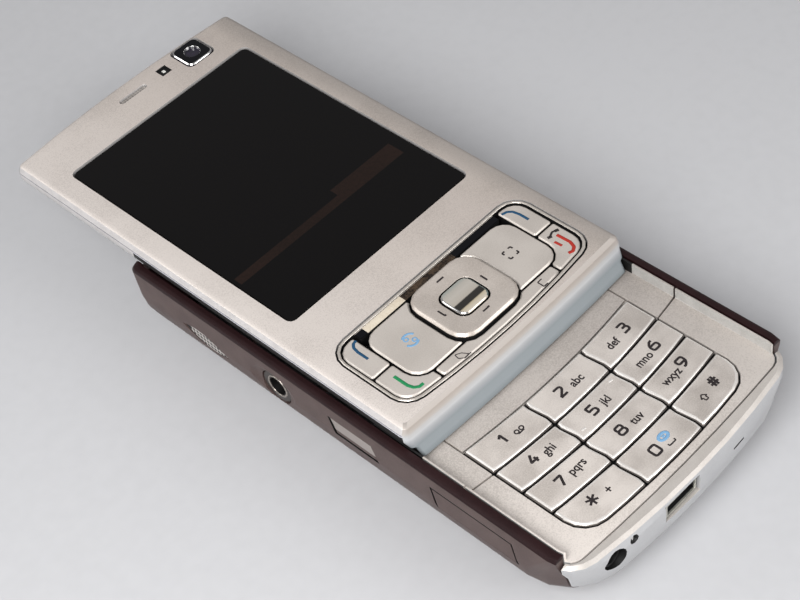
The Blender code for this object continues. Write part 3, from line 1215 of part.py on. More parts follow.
def front_housing():
    """The silver shell: a waist that drops between the walls, wide sides, a slanted lip."""
    depth_shares = (
        (0.000, 0.0014, 0.00025), (0.265, 0.0012, 0.0013), (0.300, 0.0005, 0.0015),
        (0.470, 0.0000, 0.0021), (0.727, 0.0000, 0.00225), (0.915, 0.0004, 0.0025),
        (1.000, 0.0012, 0.0032))
    rings = []
    for share, inset, rise in depth_shares:
        z = SLIDER_Z + SLIDER_DEPTH * share
        rings.append(at_height(slider_outline(inset, rise), z))
    floor = slider_outline(HOUSING_WALL + depth_shares[0][1], HOUSING_WALL * 3)
    rings = [at_height(floor, ROOF_UNDER_Z), at_height(floor, SLIDER_Z)] + rings
    shell = piece("front_housing", loft_mesh(rings), "silver_paint")
    low, high = ROOF_UNDER_Z - CUT_OVERRUN, FACE_Z + CUT_OVERRUN
    camera_y = SLIDER_TOP - FRONT_CAMERA_SETBACK
    earpiece_y = SLIDER_TOP - EARPIECE_SETBACK
    sensor_y = SLIDER_TOP - SENSOR_SETBACK
    cut(shell, outline_mesh(display_outline(FIT_GAP), low, high),
        outline_mesh(cluster_outline(FRAME_WIDTH + FIT_GAP), CLUSTER_Z - FIT_GAP, high),
        outline_mesh(stadium(EARPIECE_X, earpiece_y, EARPIECE_HALF, EARPIECE_HALF_HEIGHT), low, high),
        outline_mesh(rounded_square(FRONT_CAMERA_X, camera_y, FRONT_CAMERA_HALF + FIT_GAP,
                                    FRONT_CAMERA_HALF + FIT_GAP, FRONT_CAMERA_CORNER),
                     SLIDER_BOARD_Z - FIT_GAP, high),
        centred_block(SENSOR_X, SENSOR_HALF, sensor_y - SENSOR_HALF, sensor_y + SENSOR_HALF,
                      FACE_Z - SENSOR_SINK, high))


def rounded_square(x, y, half_x, half_y, radius):
    points = plan_outline(half_x, half_y, -half_y, radius)
    return [(x + px, y + py) for px, py in points]


def stadium(x, y, half_x, half_y):
    return rounded_square(x, y, half_x, half_y, half_y * 0.98)


def display_outline(gap):
    middle = (DISPLAY_TOP + DISPLAY_BOTTOM) / 2
    return rounded_square(0, middle, DISPLAY_HALF + gap, DISPLAY_LENGTH / 2 + gap,
                          DISPLAY_CORNER + gap)


def cluster_outline(gap):
    return plan_outline(CLUSTER_HALF + gap, CLUSTER_TOP + gap, CLUSTER_BOTTOM - gap,
                        CLUSTER_CORNER + gap, 0, CLUSTER_SAG)


def slide_plate():
    """The steel plate that closes the slider from below, slotted for the carriage's shoes."""
    inset = HOUSING_WALL + FIT_GAP
    outline = slider_outline(0.0014 + inset, HOUSING_WALL * 3 + FIT_GAP)
    plate = piece("slide_plate", outline_mesh(outline, SLIDER_Z, PLATE_TOP_Z), "steel")
    travel = OPEN_TRAVEL + MEDIA_TRAVEL
    cut(plate, *[centred_block(side * SHOE_X, STEM_WIDTH / 2 + FIT_GAP, SHOE_BOTTOM - FIT_GAP,
                               SHOE_TOP + travel + FIT_GAP, SLIDER_Z - CUT_OVERRUN,
                               PLATE_TOP_Z + CUT_OVERRUN) for side in (-1, 1)])


def display_window():
    top = FACE_Z - WINDOW_SINK
    piece("display_window", outline_mesh(display_outline(0), top - WINDOW_THICKNESS, top),
          "black_glass")


def lcd_module():
    top = FACE_Z - WINDOW_SINK - WINDOW_THICKNESS - FIT_GAP
    piece("lcd_module", centred_block(0, DISPLAY_HALF + LCD_MARGIN, DISPLAY_BOTTOM - LCD_MARGIN,
                                      DISPLAY_TOP + LCD_MARGIN, SLIDER_BOARD_Z, top), "lcd_grey")


def earpiece():
    y = SLIDER_TOP - EARPIECE_SETBACK
    top = FACE_Z - EARPIECE_SINK
    grille = outline_mesh(stadium(EARPIECE_X, y, EARPIECE_HALF - FIT_GAP,
                                  EARPIECE_HALF_HEIGHT - FIT_GAP / 2),
                          ROOF_UNDER_Z - FIT_GAP * 2, top)
    speaker = piece("earpiece", grille, "black_plastic")
    add(speaker, centred_block(EARPIECE_X, CAPSULE_HALF, y - CAPSULE_BELOW, y + CAPSULE_ABOVE,
                               SLIDER_BOARD_Z, ROOF_UNDER_Z - FIT_GAP))


def front_camera():
    y = SLIDER_TOP - FRONT_CAMERA_SETBACK
    top = FACE_Z + FRONT_CAMERA_PROUD
    outline = rounded_square(FRONT_CAMERA_X, y, FRONT_CAMERA_HALF, FRONT_CAMERA_HALF,
                             FRONT_CAMERA_CORNER)
    camera = piece("front_camera", bevel_top(outline_mesh(outline, SLIDER_BOARD_Z, top),
                                             CLUSTER_BEVEL, 1), "chrome_plating")
    cut(camera, rod_mesh(FRONT_LENS_RADIUS, top - FRONT_LENS_SINK, top + CUT_OVERRUN,
                         (FRONT_CAMERA_X, y)))


# The key cluster
def cluster_frame():
    """The bright frame round the cluster, with the strip along its top."""
    top = FACE_Z + FRAME_PROUD
    outer = cluster_outline(FRAME_WIDTH)
    inner = cluster_outline(0)
    shoulder = cluster_outline(FRAME_WIDTH / 2)
    rings = [at_height(outer, CLUSTER_Z), at_height(outer, FACE_Z), at_height(shoulder, top),
             at_height(inner, FACE_Z), at_height(inner, CLUSTER_Z)]
    frame = piece("cluster_frame", loft_mesh(rings, closed=True), "chrome_plating")
    add(frame, centred_block(0, CLUSTER_STRIP_HALF, CLUSTER_TOP - CLUSTER_STRIP_DEPTH,
                             CLUSTER_TOP + FRAME_WIDTH / 2, CLUSTER_Z, FACE_Z - STRIP_SINK))


def slider_board():
    piece("slider_board", block_mesh(
        (-CLUSTER_HALF, CLUSTER_BOTTOM + CLUSTER_SAG, SLIDER_BOARD_Z),
        (CLUSTER_HALF, CLUSTER_TOP, SLIDER_BOARD_TOP_Z)), "board_green")


def nav_outline(gap):
    return rounded_square(0, NAV_Y, NAV_HALF_WIDTH + gap, NAV_HALF_HEIGHT + gap, NAV_CORNER + gap)


def big_key_outline(side, gap):
    """A big key beside the ring, its two outer corners rounded."""
    middle = (BIG_KEY_TOP + BIG_KEY_BOTTOM) / 2
    half = (BIG_KEY_TOP - BIG_KEY_BOTTOM) / 2
    points = rounded_square(0, middle, BIG_KEY_HALF + gap, half + gap, BIG_KEY_CORNER + gap)
    inner = NAV_HALF_WIDTH - NAV_CORNER / 3
    if side > 0:
        right = [(x, y) for x, y in points if x > inner]
        return ordered_half(right, inner, middle, half + gap)
    return mirrored(big_key_outline(1, gap))


def ordered_half(right, inner, middle, half):
    """The right half of an outline, closed by a straight inner side."""
    lower = sorted((x, y) for x, y in right if y < middle)
    upper = sorted((x, y) for x, y in right if y >= middle)
    return [(inner, middle - half)] + lower + upper[::-1] + [(inner, middle + half)]


def cluster_key(name, points, *cutters, finish="key_metal"):
    mesh = outline_mesh(points, CLUSTER_Z, FACE_Z)
    key = piece(name, mesh, finish, middle_of(points, CLUSTER_Z))
    for cutter in cutters:
        cut(key, outline_mesh(cutter, CLUSTER_Z - CUT_OVERRUN, FACE_Z + CUT_OVERRUN))
    soften(key, CLUSTER_BEVEL, 1, 60)
    return key


def field_outline():
    """The room for keys inside the bright frame."""
    return cluster_outline(-FIT_GAP)


def field_key(name, left, right, bottom, top, *cutters):
    """A key that fills a rectangle of the field, trimmed by the frame's outline."""
    points = plan_rectangle(left, right, bottom, top)
    mesh = outline_mesh(points, CLUSTER_Z, FACE_Z)
    key = piece(name, mesh, "key_metal", middle_of(points, CLUSTER_Z))
    keep(key, outline_mesh(field_outline(), CLUSTER_Z - CUT_OVERRUN, FACE_Z + CUT_OVERRUN))
    for cutter in cutters:
        cut(key, outline_mesh(cutter, CLUSTER_Z - CUT_OVERRUN, FACE_Z + CUT_OVERRUN))
    soften(key, CLUSTER_BEVEL, 1, 60)


def cluster_keys():
    half_gap = FIT_GAP / 2
    edge = CLUSTER_HALF
    for side, soft, call, big in ((-1, "soft_key_left", "call_key", "multimedia_key"),
                                  (1, "soft_key_right", "end_key", "menu_key")):
        inner = BIG_KEY_HALF + FIT_GAP
        spans = sorted((side * inner, side * edge))
        field_key(soft, spans[0], spans[1], SOFT_SEAM_Y + half_gap, CLUSTER_TOP)
        spans = sorted((side * (CALL_INNER + half_gap), side * edge))
        field_key(call, spans[0], spans[1], CLUSTER_BOTTOM, SOFT_SEAM_Y - half_gap,
                  big_key_outline(side, FIT_GAP))
        cluster_key(big, big_key_outline(side, 0), nav_outline(FIT_GAP))
    field_key("edit_clear_key", -CALL_INNER + half_gap, CALL_INNER - half_gap, CLUSTER_BOTTOM,
              BIG_KEY_BOTTOM - FIT_GAP, nav_outline(FIT_GAP))


def nav_ring():
    """A dished ring with rounded corners, tilting on its pad."""
    low = CLUSTER_Z + NAV_PAD_THICKNESS + FIT_GAP
    crest = FACE_Z + NAV_PROUD
    hole = (CENTRE_HALF_WIDTH + FIT_GAP, CENTRE_HALF_HEIGHT + FIT_GAP, CENTRE_CORNER + FIT_GAP)
    inner = rounded_square(0, NAV_Y, *hole)
    rings = [at_height(nav_outline(0), low), at_height(nav_outline(0), crest - NAV_CREST / 2),
             at_height(nav_outline(-NAV_CREST / 2), crest), at_height(nav_outline(-NAV_CREST), crest),
             at_height(inner, crest - NAV_DISH), at_height(inner, low)]
    piece("nav_ring", loft_mesh(rings, closed=True), "key_metal", (0, NAV_Y, low))


def nav_pad():
    """The sprung pad that the ring stands on, open in the middle for the centre key."""
    high = CLUSTER_Z + NAV_PAD_THICKNESS
    outer = nav_outline(-NAV_CREST)
    inner = rounded_square(0, NAV_Y, CENTRE_HALF_WIDTH + FIT_GAP * 2,
                           CENTRE_HALF_HEIGHT + FIT_GAP * 2, CENTRE_CORNER + FIT_GAP * 2)
    rings = [at_height(outer, CLUSTER_Z), at_height(outer, high), at_height(inner, high),
             at_height(inner, CLUSTER_Z)]
    piece("nav_pad", loft_mesh(rings, closed=True), "grey_rubber", (0, NAV_Y, CLUSTER_Z))


def centre_key():
    outline = rounded_square(0, NAV_Y, CENTRE_HALF_WIDTH, CENTRE_HALF_HEIGHT, CENTRE_CORNER)
    mesh = bevel_top(outline_mesh(outline, CLUSTER_Z, FACE_Z + CENTRE_PROUD), CLUSTER_BEVEL)
    piece("centre_key", mesh, "chrome_plating", (0, NAV_Y, CLUSTER_Z))


def build():
    base_housing()
    battery_cover()
    battery()
    end_cap()
    main_board()
    keypad_mat()
    keypad_keys()
    upper_bezel()
    lower_bezel()
    keypad_strip()
    slide_carriage()
    media_panel()
    media_keys()
    headset_jack()
    usb_socket()
    charger_socket()
    side_speaker("left_speaker", -1)
    side_speaker("right_speaker", 1)
    infrared_window()
    card_door()
    side_key("volume_rocker", VOLUME_Y, VOLUME_HALF)
    side_key("camera_key", CAMERA_KEY_Y, CAMERA_KEY_HALF)
    power_key()
    rear_camera()
    camera_lens()
    lens_ring()
    lens_blade()
    flash_window()
    front_housing()
    slide_plate()
    display_window()
    lcd_module()
    earpiece()
    front_camera()
    cluster_frame()
    slider_board()
    cluster_keys()
    nav_pad()
    nav_ring()
    centre_key()


clear_scene()
parts = new_collection("SliderPhone")
guides = new_collection("Cutters")
build()
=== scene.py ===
"""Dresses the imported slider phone: shells, keys and their legends, small fittings, and a studio.

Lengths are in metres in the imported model's frame: +X across, +Y to the display's top, +Z up.
"""
import json
import logging
import math
from dataclasses import dataclass
from enum import Enum
from typing import Callable, ClassVar

import bpy
from mathutils import Matrix, Vector

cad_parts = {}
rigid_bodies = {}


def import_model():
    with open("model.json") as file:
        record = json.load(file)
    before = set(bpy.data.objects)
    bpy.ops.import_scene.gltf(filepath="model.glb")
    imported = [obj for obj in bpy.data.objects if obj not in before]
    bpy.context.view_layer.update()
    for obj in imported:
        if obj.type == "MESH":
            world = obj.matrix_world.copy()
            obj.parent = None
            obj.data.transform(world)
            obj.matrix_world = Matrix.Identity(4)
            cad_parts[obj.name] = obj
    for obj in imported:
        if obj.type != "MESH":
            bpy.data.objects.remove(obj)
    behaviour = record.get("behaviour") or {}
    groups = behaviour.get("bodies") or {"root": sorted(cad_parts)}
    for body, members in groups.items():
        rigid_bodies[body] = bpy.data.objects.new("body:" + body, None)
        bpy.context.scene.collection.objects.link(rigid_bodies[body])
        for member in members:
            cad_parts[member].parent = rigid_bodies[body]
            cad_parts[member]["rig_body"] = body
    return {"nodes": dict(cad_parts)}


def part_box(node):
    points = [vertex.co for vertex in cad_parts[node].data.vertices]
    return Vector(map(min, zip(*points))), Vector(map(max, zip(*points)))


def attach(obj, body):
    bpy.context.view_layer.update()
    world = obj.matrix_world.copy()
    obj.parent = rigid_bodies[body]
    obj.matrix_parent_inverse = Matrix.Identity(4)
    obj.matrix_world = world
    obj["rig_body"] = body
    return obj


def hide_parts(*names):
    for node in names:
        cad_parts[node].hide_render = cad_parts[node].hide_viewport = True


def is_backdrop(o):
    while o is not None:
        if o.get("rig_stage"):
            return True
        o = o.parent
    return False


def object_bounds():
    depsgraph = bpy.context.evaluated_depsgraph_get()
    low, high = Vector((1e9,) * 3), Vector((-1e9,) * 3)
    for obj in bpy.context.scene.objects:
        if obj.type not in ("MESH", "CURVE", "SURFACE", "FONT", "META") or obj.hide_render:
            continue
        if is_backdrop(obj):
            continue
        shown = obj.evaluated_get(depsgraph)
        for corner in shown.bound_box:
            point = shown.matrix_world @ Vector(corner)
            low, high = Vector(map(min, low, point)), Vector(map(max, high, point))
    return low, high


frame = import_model()
log = logging.getLogger("slider_phone")

Thing = bpy.types.Object
Tree = bpy.types.NodeTree
Socket = bpy.types.NodeSocket
Point = tuple[float, ...]
Test = Callable[[Vector, Vector], bool]
Nodes = dict[str, tuple[str, dict[str, object], dict[object, object]]]

MM = 0.001
GAMMA = 2.2
COAT_ROUGHNESS = 0.05
LEAST_ROUGHNESS = 0.02
GRAIN_STRENGTH = 0.35
BAND_COVER = 0.94
HOLE_SHADE = 0x100F0F
MERGE_REACH = 0.000002
FLAT_ANGLE = math.radians(0.6)
EDGE_ANGLE = math.radians(34)
SMOOTH_ANGLE = math.radians(40)
INK_THICKNESS = 0.000012
STROKE_FLATNESS = 0.16
CAP_HEIGHT = 0.73
LIT_SIDE = 0.00022
CREST_SHARE = 1.05
ROLLED = 0.96
FACES_UP = 0.9
SIDE_WALL = 0.35
GAP_WALL = 0.5
RAY_START = 0.03


def linear(shade: int) -> tuple[float, float, float, float]:
    """A screen colour, such as 0xE3DAD3, as a linear colour."""
    return (*((value / 255) ** GAMMA for value in shade.to_bytes(3, "big")), 1.0)


def inside(value: float, span: Point) -> bool:
    """Whether a value lies between a span's two ends."""
    return span[0] < value < span[1]


@dataclass(frozen=True)
class Finish:
    """What a surface is coated with, and how that coat varies."""

    name: str
    colour: int
    mottle: int
    metallic: float = 0.0
    roughness: float = 0.4
    spread: float = 0.05
    grain_scale: float = 5000.0
    grain_depth: float = 0.00001
    mottle_scale: float = 300.0
    mottle_share: float = 0.4
    coat: float = 0.0
    speckle: float = 0.5
    specular: float = 0.5
    dots: float = 0.0
    # Bands of painted light, shade and reflection, laid along band_axis over band_span
    light_bands: tuple[tuple[float, int], ...] = ()
    band_axis: Point = (0.0, 0.0, 1.0)
    band_span: Point = (0.0, 1.0)
    tinted: bool = False

    def material(self) -> bpy.types.Material:
        """The shader for this finish, built the first time it is asked for.

        Returns:
            The material, with its grain, mottling and smears in place.
        """
        if self.name in bpy.data.materials:
            return bpy.data.materials[self.name]
        made = bpy.data.materials.new(self.name)
        made.use_nodes = True
        tree = made.node_tree
        shader = tree.nodes["Principled BSDF"]
        for socket, value in (("Metallic", self.metallic), ("Coat Weight", self.coat),
                              ("Specular IOR Level", self.specular),
                              ("Coat Roughness", COAT_ROUGHNESS)):
            shader.inputs[socket].default_value = value
        parts = wired(tree, {
            "grain": ("Group", {"node_tree": grain()}, {"Scale": self.grain_scale}),
            "cloud": ("Group", {"node_tree": clouds()}, {
                "Scale": self.mottle_scale, "Share": self.mottle_share, "Speckle": self.speckle,
                "First": linear(self.colour), "Second": linear(self.mottle)}),
            "smear": ("Group", {"node_tree": smear()}, {
                "Low": max(self.roughness - self.spread, LEAST_ROUGHNESS),
                "High": self.roughness + self.spread}),
            "bump": ("Bump", {}, {"Strength": GRAIN_STRENGTH, "Distance": self.grain_depth})},
            ("grain.Height > bump.Height", "bump.Normal > shader.Normal",
             "grain.Height > cloud.Grain", "smear.Roughness > shader.Roughness"), shader)
        colour = parts["cloud"].outputs["Colour"]
        if self.light_bands:
            colour = self.light_banded(tree, colour)
        if self.dots:
            colour = self.dotted(tree, colour)
        tree.links.new(colour, shader.inputs["Base Color"])
        return made

    def light_banded(self, tree: Tree, colour: Socket) -> Socket:
        """Lay bands of painted light, shade and reflection along a direction over the plain coat,
        or tint it with them.

        Args:
            tree: The material's nodes.
            colour: The plain coat's colour.

        Returns:
            The colour with the bands in it.
        """
        parts = wired(tree, {
            "place": ("Group", {"node_tree": along()}, {
                "Direction": self.band_axis, "Start": self.band_span[0],
                "End": self.band_span[1]}),
            "ramp": ("ValToRGB", {}, {}),
            "tint": ("Mix", {"data_type": "RGBA",
                             "blend_type": "MULTIPLY" if self.tinted else "MIX"},
                     {"Factor": 1.0 if self.tinted else BAND_COVER})},
            ("place.Share > ramp.Fac", "ramp.Color > tint.B"))
        stops = parts["ramp"].color_ramp.elements
        while len(stops) < len(self.light_bands):
            stops.new(0.5)
        for stop, (position, shade) in zip(stops, self.light_bands):
            stop.position = position
            stop.color = linear(shade)
        tree.links.new(colour, parts["tint"].inputs["A"])
        return parts["tint"].outputs["Result"]

    def dotted(self, tree: Tree, colour: Socket) -> Socket:
        """Punch a grid of dark dots into the coat.

        Args:
            tree: The material's nodes.
            colour: The coat's colour.

        Returns:
            The colour with the dots in it.
        """
        parts = wired(tree, {
            "holes": ("Group", {"node_tree": perforation()}, {"Pitch": self.dots}),
            "dark": ("Mix", {"data_type": "RGBA"}, {"B": linear(HOLE_SHADE)})},
            ("holes.Hole > dark.Factor",))
        tree.links.new(colour, parts["dark"].inputs["A"])
        return parts["dark"].outputs["Result"]


def wired(tree: Tree, nodes: Nodes, links: tuple[str, ...],
          shader: bpy.types.Node | None = None) -> dict[str, bpy.types.Node]:
    """Add nodes to a tree and link them.

    Args:
        tree: The tree.
        nodes: By a short name, each node's type, its settings and its inputs' values.
        links: Each as "node.output > node.input", where a number stands for a place.
        shader: A node that is there already and is called shader in the links.

    Returns:
        The nodes by their short names.
    """
    made = {"shader": shader}
    for label, (kind, settings, values) in nodes.items():
        made[label] = tree.nodes.new(kind if kind.startswith("Node") else f"ShaderNode{kind}")
        for key, value in settings.items():
            setattr(made[label], key, value)
        for key, value in values.items():
            made[label].inputs[key].default_value = value
    for link in links:
        (source, out), (target, into) = (end.split(".") for end in link.split(" > "))
        tree.links.new(made[source].outputs[int(out) if out.isdigit() else out],
                       made[target].inputs[int(into) if into.isdigit() else into])
    return made


def group(name: str, inputs: dict[str, str], output: dict[str, str], nodes: Nodes,
          links: tuple[str, ...]) -> Tree:
    """A named shader group, filled the first time it is asked for.

    Args:
        name: The group's name.
        inputs: Each input's socket type.
        output: The output's socket type.
        nodes: The nodes inside, as wired takes them.
        links: Their links; in and out are the group's ends, place the object's coordinates.

    Returns:
        The group.
    """
    if name in bpy.data.node_groups:
        return bpy.data.node_groups[name]
    tree = bpy.data.node_groups.new(name, "ShaderNodeTree")
    for end, sockets in (("INPUT", inputs), ("OUTPUT", output)):
        for label, kind in sockets.items():
            tree.interface.new_socket(label, in_out=end, socket_type=f"NodeSocket{kind}")
    ends = {"in": ("NodeGroupInput", {}, {}), "out": ("NodeGroupOutput", {}, {}),
            "place": ("TexCoord", {}, {})}
    wired(tree, {**ends, **nodes}, links)
    return tree


def grain() -> Tree:
    """The fine speckle of metallic paint and moulded plastic."""
    return group(
        "Paint grain", {"Scale": "Float"}, {"Height": "Float"},
        {"noise": ("TexNoise", {}, {"Detail": 1.0})},
        ("place.Object > noise.Vector", "in.Scale > noise.Scale", "noise.Fac > out.Height"))


def clouds() -> Tree:
    """Soft clouds of a second colour, with a little of the grain in them."""
    return group(
        "Soft mottling",
        {"Scale": "Float", "Share": "Float", "Speckle": "Float", "First": "Color",
         "Second": "Color", "Grain": "Float"}, {"Colour": "Color"},
        {"noise": ("TexNoise", {}, {"Detail": 2.0}),
         "spread": ("MapRange", {}, {"From Min": 0.35, "From Max": 0.65}),
         "centred": ("MapRange", {"clamp": False},
                     {"From Min": 0.3, "From Max": 0.7, "To Min": -1.0}),
         "speckle": ("Math", {"operation": "MULTIPLY_ADD"}, {}),
         "weigh": ("Math", {"operation": "MULTIPLY"}, {}),
         "blend": ("Mix", {"data_type": "RGBA"}, {})},
        ("place.Object > noise.Vector", "in.Scale > noise.Scale", "noise.Fac > spread.Value",
         "in.Grain > centred.Value", "centred.Result > speckle.0", "in.Speckle > speckle.1",
         "spread.Result > speckle.2", "speckle.0 > weigh.0", "in.Share > weigh.1",
         "weigh.0 > blend.Factor", "in.First > blend.A", "in.Second > blend.B",
         "blend.Result > out.Colour"))


def along() -> Tree:
    """How far a point lies along a direction, from 0 to 1."""
    return group(
        "Place along", {"Direction": "Vector", "Start": "Float", "End": "Float"},
        {"Share": "Float"},
        {"reach": ("VectorMath", {"operation": "DOT_PRODUCT"}, {}),
         "spread": ("MapRange", {}, {})},
        ("place.Object > reach.0", "in.Direction > reach.1", "reach.Value > spread.Value",
         "in.Start > spread.From Min", "in.End > spread.From Max",
         "spread.Result > out.Share"))


def perforation() -> Tree:
    """A grid of round holes, one every pitch."""
    return group(
        "Perforation", {"Pitch": "Float"}, {"Hole": "Float"},
        {"count": ("Math", {"operation": "DIVIDE"}, {0: 1.0}),
         "cells": ("TexVoronoi", {}, {"Randomness": 0.0}),
         "edge": ("MapRange", {}, {"From Min": 0.34, "From Max": 0.44, "To Min": 1.0,
                                   "To Max": 0.0})},
        ("in.Pitch > count.1", "count.0 > cells.Scale", "place.Object > cells.Vector",
         "cells.Distance > edge.Value", "edge.Result > out.Hole"))


def smear() -> Tree:
    """Roughness that drifts, as on a phone that has been handled."""
    return group(
        "Handling smears", {"Low": "Float", "High": "Float"}, {"Roughness": "Float"},
        {"noise": ("TexNoise", {}, {"Scale": 90.0, "Detail": 3.0}),
         "spread": ("MapRange", {}, {})},
        ("place.Object > noise.Vector", "noise.Fac > spread.Value", "in.Low > spread.To Min",
         "in.High > spread.To Max", "spread.Result > out.Roughness"))


class Coat(Enum):
    """The finishes of this phone, some with painted light, shade and reflections laid over them.
    """

    # Silver paint of the display half, tinted darker towards its right edge as painted shade
    WARM_SILVER = Finish("warm silver paint with painted shade", 0xE3DAD3, 0xB6ADA6, 0.4, 0.42, 0.04, 5600, 3e-5, 90,
        0.3, speckle=0.9, band_axis=(1.0, 0.0, 0.0), band_span=(-0.0251, 0.0251), tinted=True,
        light_bands=((0.0, 0xFFFFFF), (0.3, 0xF8F7F6), (0.5, 0xF2F0EE), (0.8, 0xE6E3E1), (0.9, 0xE0DDDA),
        (0.95, 0xCCCAC8), (1.0, 0xBEBDBC)))
    SIDE_SILVER = Finish("silver side", 0xD6D2D0, 0xBAB6B4, 0.45, 0.3, 0.05, 5200, 3e-5, 700)
    GROOVE = Finish("parting line", 0x404054, 0x303040, 0.2, 0.4, 0.05, 5000, 1e-5, 500, 0.3)
    # A painted highlight: the bright line along the display half's sides
    SIDE_LIGHT = Finish("painted side highlight", 0xECEAF0, 0xDCD8DE, 0.6, 0.2, 0.05, 5000, 1e-5, 500, 0.3)
    # The lip's bands, dark at the foot, pale grey in the middle and warm near the top, are painted
    # reflection
    LIP = Finish("display half's lip with painted reflection bands", 0xB0B7BC, 0x969EA6, 0.25, 0.46, 0.05, 5200, 3e-5,
        speckle=0.9, band_span=(0.01475, 0.0206), light_bands=((0.0, 0x686E71), (0.12, 0x7C8285),
        (0.3, 0x7A8083), (0.42, 0x9C9EA1), (0.55, 0xC4C5C7), (0.67, 0xC4C4C4), (0.78, 0xB6AEA7),
        (0.9, 0xACA29A), (1.0, 0xB0A8A1)))
    # Deck silver, tinted darker towards the slider and the right as painted shade
    DECK_SILVER = Finish("deck silver with painted shade near the slider", 0xEEE5DD, 0xBAB1A9, 0.4, 0.42, 0.05, 5000, 3e-5, 70, 0.35,
        speckle=0.8, band_axis=(-0.6, -0.8, 0.0), band_span=(0.0, 0.048), tinted=True,
        light_bands=((0.0, 0xC6C5C5), (0.5, 0xDEDEDE), (1.0, 0xFFFFFF)))
    # A darker copy of the deck silver for the upstand walls: painted shade
    DECK_WALL = Finish("painted shade on the deck upstand", 0xBEBDBA, 0xA2A19E, 0.4, 0.42, 0.05, 4200, 3e-5, 600, 0.45)
    CAP_SILVER = Finish("pale end cap", 0xBABABB, 0xA8A8AA, 0.25, 0.46, 0.05, 5000, 2e-5, 120, 0.3,
        speckle=0.6)
    # A warmer copy of the cap's colour for its top faces: painted light
    CAP_TOP = Finish("painted light on the end cap's top", 0xBEB8B2, 0xAAA39D, 0.3, 0.44, 0.05, 4600, 3e-5)
    # Key plating, lighter towards the left as painted light and darker towards the right
    KEY_METAL = Finish("number key plating with painted light from the left", 0xECE3DB, 0x9C938B, 0.4, 0.3, 0.05, 5600, 1e-5, 170,
        0.5, 0.12, speckle=0.3, band_axis=(1.0, 0.0, 0.0), band_span=(-0.02, 0.02), tinted=True,
        light_bands=((0.0, 0xFFFFFF), (0.5, 0xEEEEEE), (1.0, 0xE6E6E6)))
    # A lighter copy of the key metal for rolled edges: painted highlight
    KEY_EDGE = Finish("painted highlight on key edges", 0xEEE9E4, 0xD6CFC9, 0.5, 0.24, 0.05, 4600, 1e-5, 260)
    # A darker grey for the upper part of the key sides: painted shade
    KEY_SIDE = Finish("painted shade on key sides", 0x78726E, 0x625C58, 0.4, 0.3, 0.05, 4600, 1e-5, 260)
    CLUSTER_METAL = Finish("cluster key plating", 0xCEC6BE, 0xB0A8A0, 0.4, 0.36, 0.05, 5200, 2e-5,
        140, coat=0.05, speckle=0.4)
    RING_METAL = Finish("four-way key plating", 0xD0C6BD, 0xA89E95, 0.45, 0.34, 0.05, 5200, 2e-5,
        110, 0.5, 0.05, speckle=0.4)
    FRAME_SILVER = Finish("cluster frame plating", 0xD4CCC3, 0xB8AFA6, 0.6, 0.22, 0.03, 4000, 4e-6,
        260, coat=0.1)
    # A painted teal reflection for the centre key's right flank
    TEAL_GLEAM = Finish("centre key's painted teal reflection", 0x70807E, 0x5C6C6A, 0.5, 0.16, 0.03, 3000, 2e-6,
        300, 0.3, 0.3)
    PLUM = Finish("plum plastic", 0x2A1B1C, 0x211516, 0.0, 0.42, 0.06, 4000, 3e-5, 400, 0.5,
        specular=0.2)
    # The same plum lightened to a taupe, as painted reflected light from the floor on the sides
    PLUM_SIDE = Finish("plum with painted reflected light", 0x584A47, 0x483B39, 0.2, 0.44, 0.06, 4600, 3e-5, 300, 0.5,
        specular=0.3)
    WINDOW = Finish("smoked window", 0x8C847F, 0x7A726D, 0.1, 0.3, 0.05, 4000, 4e-6, 200, 0.3, 0.1)
    CHROME = Finish("bright plating", 0xE8E7E5, 0xD6D5D4, 1.0, 0.08, 0.03, 3000, 2e-6, 300, 0.2)
    # The strip's cream, dark and black are painted reflections; the black also serves the front
    # camera's own black glass
    STRIP_CREAM = Finish("strip's painted cream reflection", 0xECE0CC, 0xCEBEA6, 0.3, 0.16, 0.03, 3000,
        2e-6, coat=0.3)
    STRIP_DARK = Finish("strip's painted dark reflection", 0x1E1713, 0x5C4C3C, 0.1, 0.14, 0.03, 3000,
        2e-6, 420, 0.5)
    STRIP_BLACK = Finish("black camera glass and strip's painted black reflection", 0x07080E, 0x0E0D0D, 0.0, 0.12, 0.03, 3000,
        2e-6, 300, 0.3, specular=0.3)
    # The bands across the centre key, with their dark streak, are painted reflection
    CENTRE_CHROME = Finish("centre key plating with painted reflection bands", 0xCEC7BD, 0xBEB6AB, 0.5, 0.16, 0.03, 3000, 2e-6,
        300, 0.2, 0.3, band_axis=(0.0, -1.0, 0.0), band_span=(0.0011, 0.0066),
        light_bands=((0.0, 0xA6ACA6), (0.14, 0xC4BEB4), (0.3, 0xCEC7BD), (0.56, 0xC6BEB2),
        (0.6, 0x100D0A), (0.8, 0x060504), (0.84, 0xD2C4A8), (1.0, 0xE2D8C8)))
    GLASS = Finish("display glass", 0x0B0909, 0x0E0B0B, 0.0, 0.09, 0.02, 2000, 5e-7, 30, 0.5,
        specular=0.26)
    GLASS_BAND = Finish("display glass's faint band", 0x241A16, 0x1B1411, 0.0, 0.09, 0.02, 2000,
        5e-7, 60, 0.5, specular=0.26)
    STEEL = Finish("pressed steel", 0xACACAE, 0x8E8E92, 1.0, 0.32, 0.1, 5000, 1e-5, 500, 0.5)
    USB_STEEL = Finish("socket shell", 0xC4C3BA, 0x96958A, 0.7, 0.28, 0.1, 5000, 1e-5, 900, 0.5)
    DARK_STEEL = Finish("dark turned steel", 0x3E3835, 0x2C2826, 0.4, 0.35, 0.08, mottle_scale=500)
    BLACK = Finish("black plastic", 0x141313, 0x1B1A1A, 0.0, 0.45, 0.1, 6000, mottle_share=0.5)
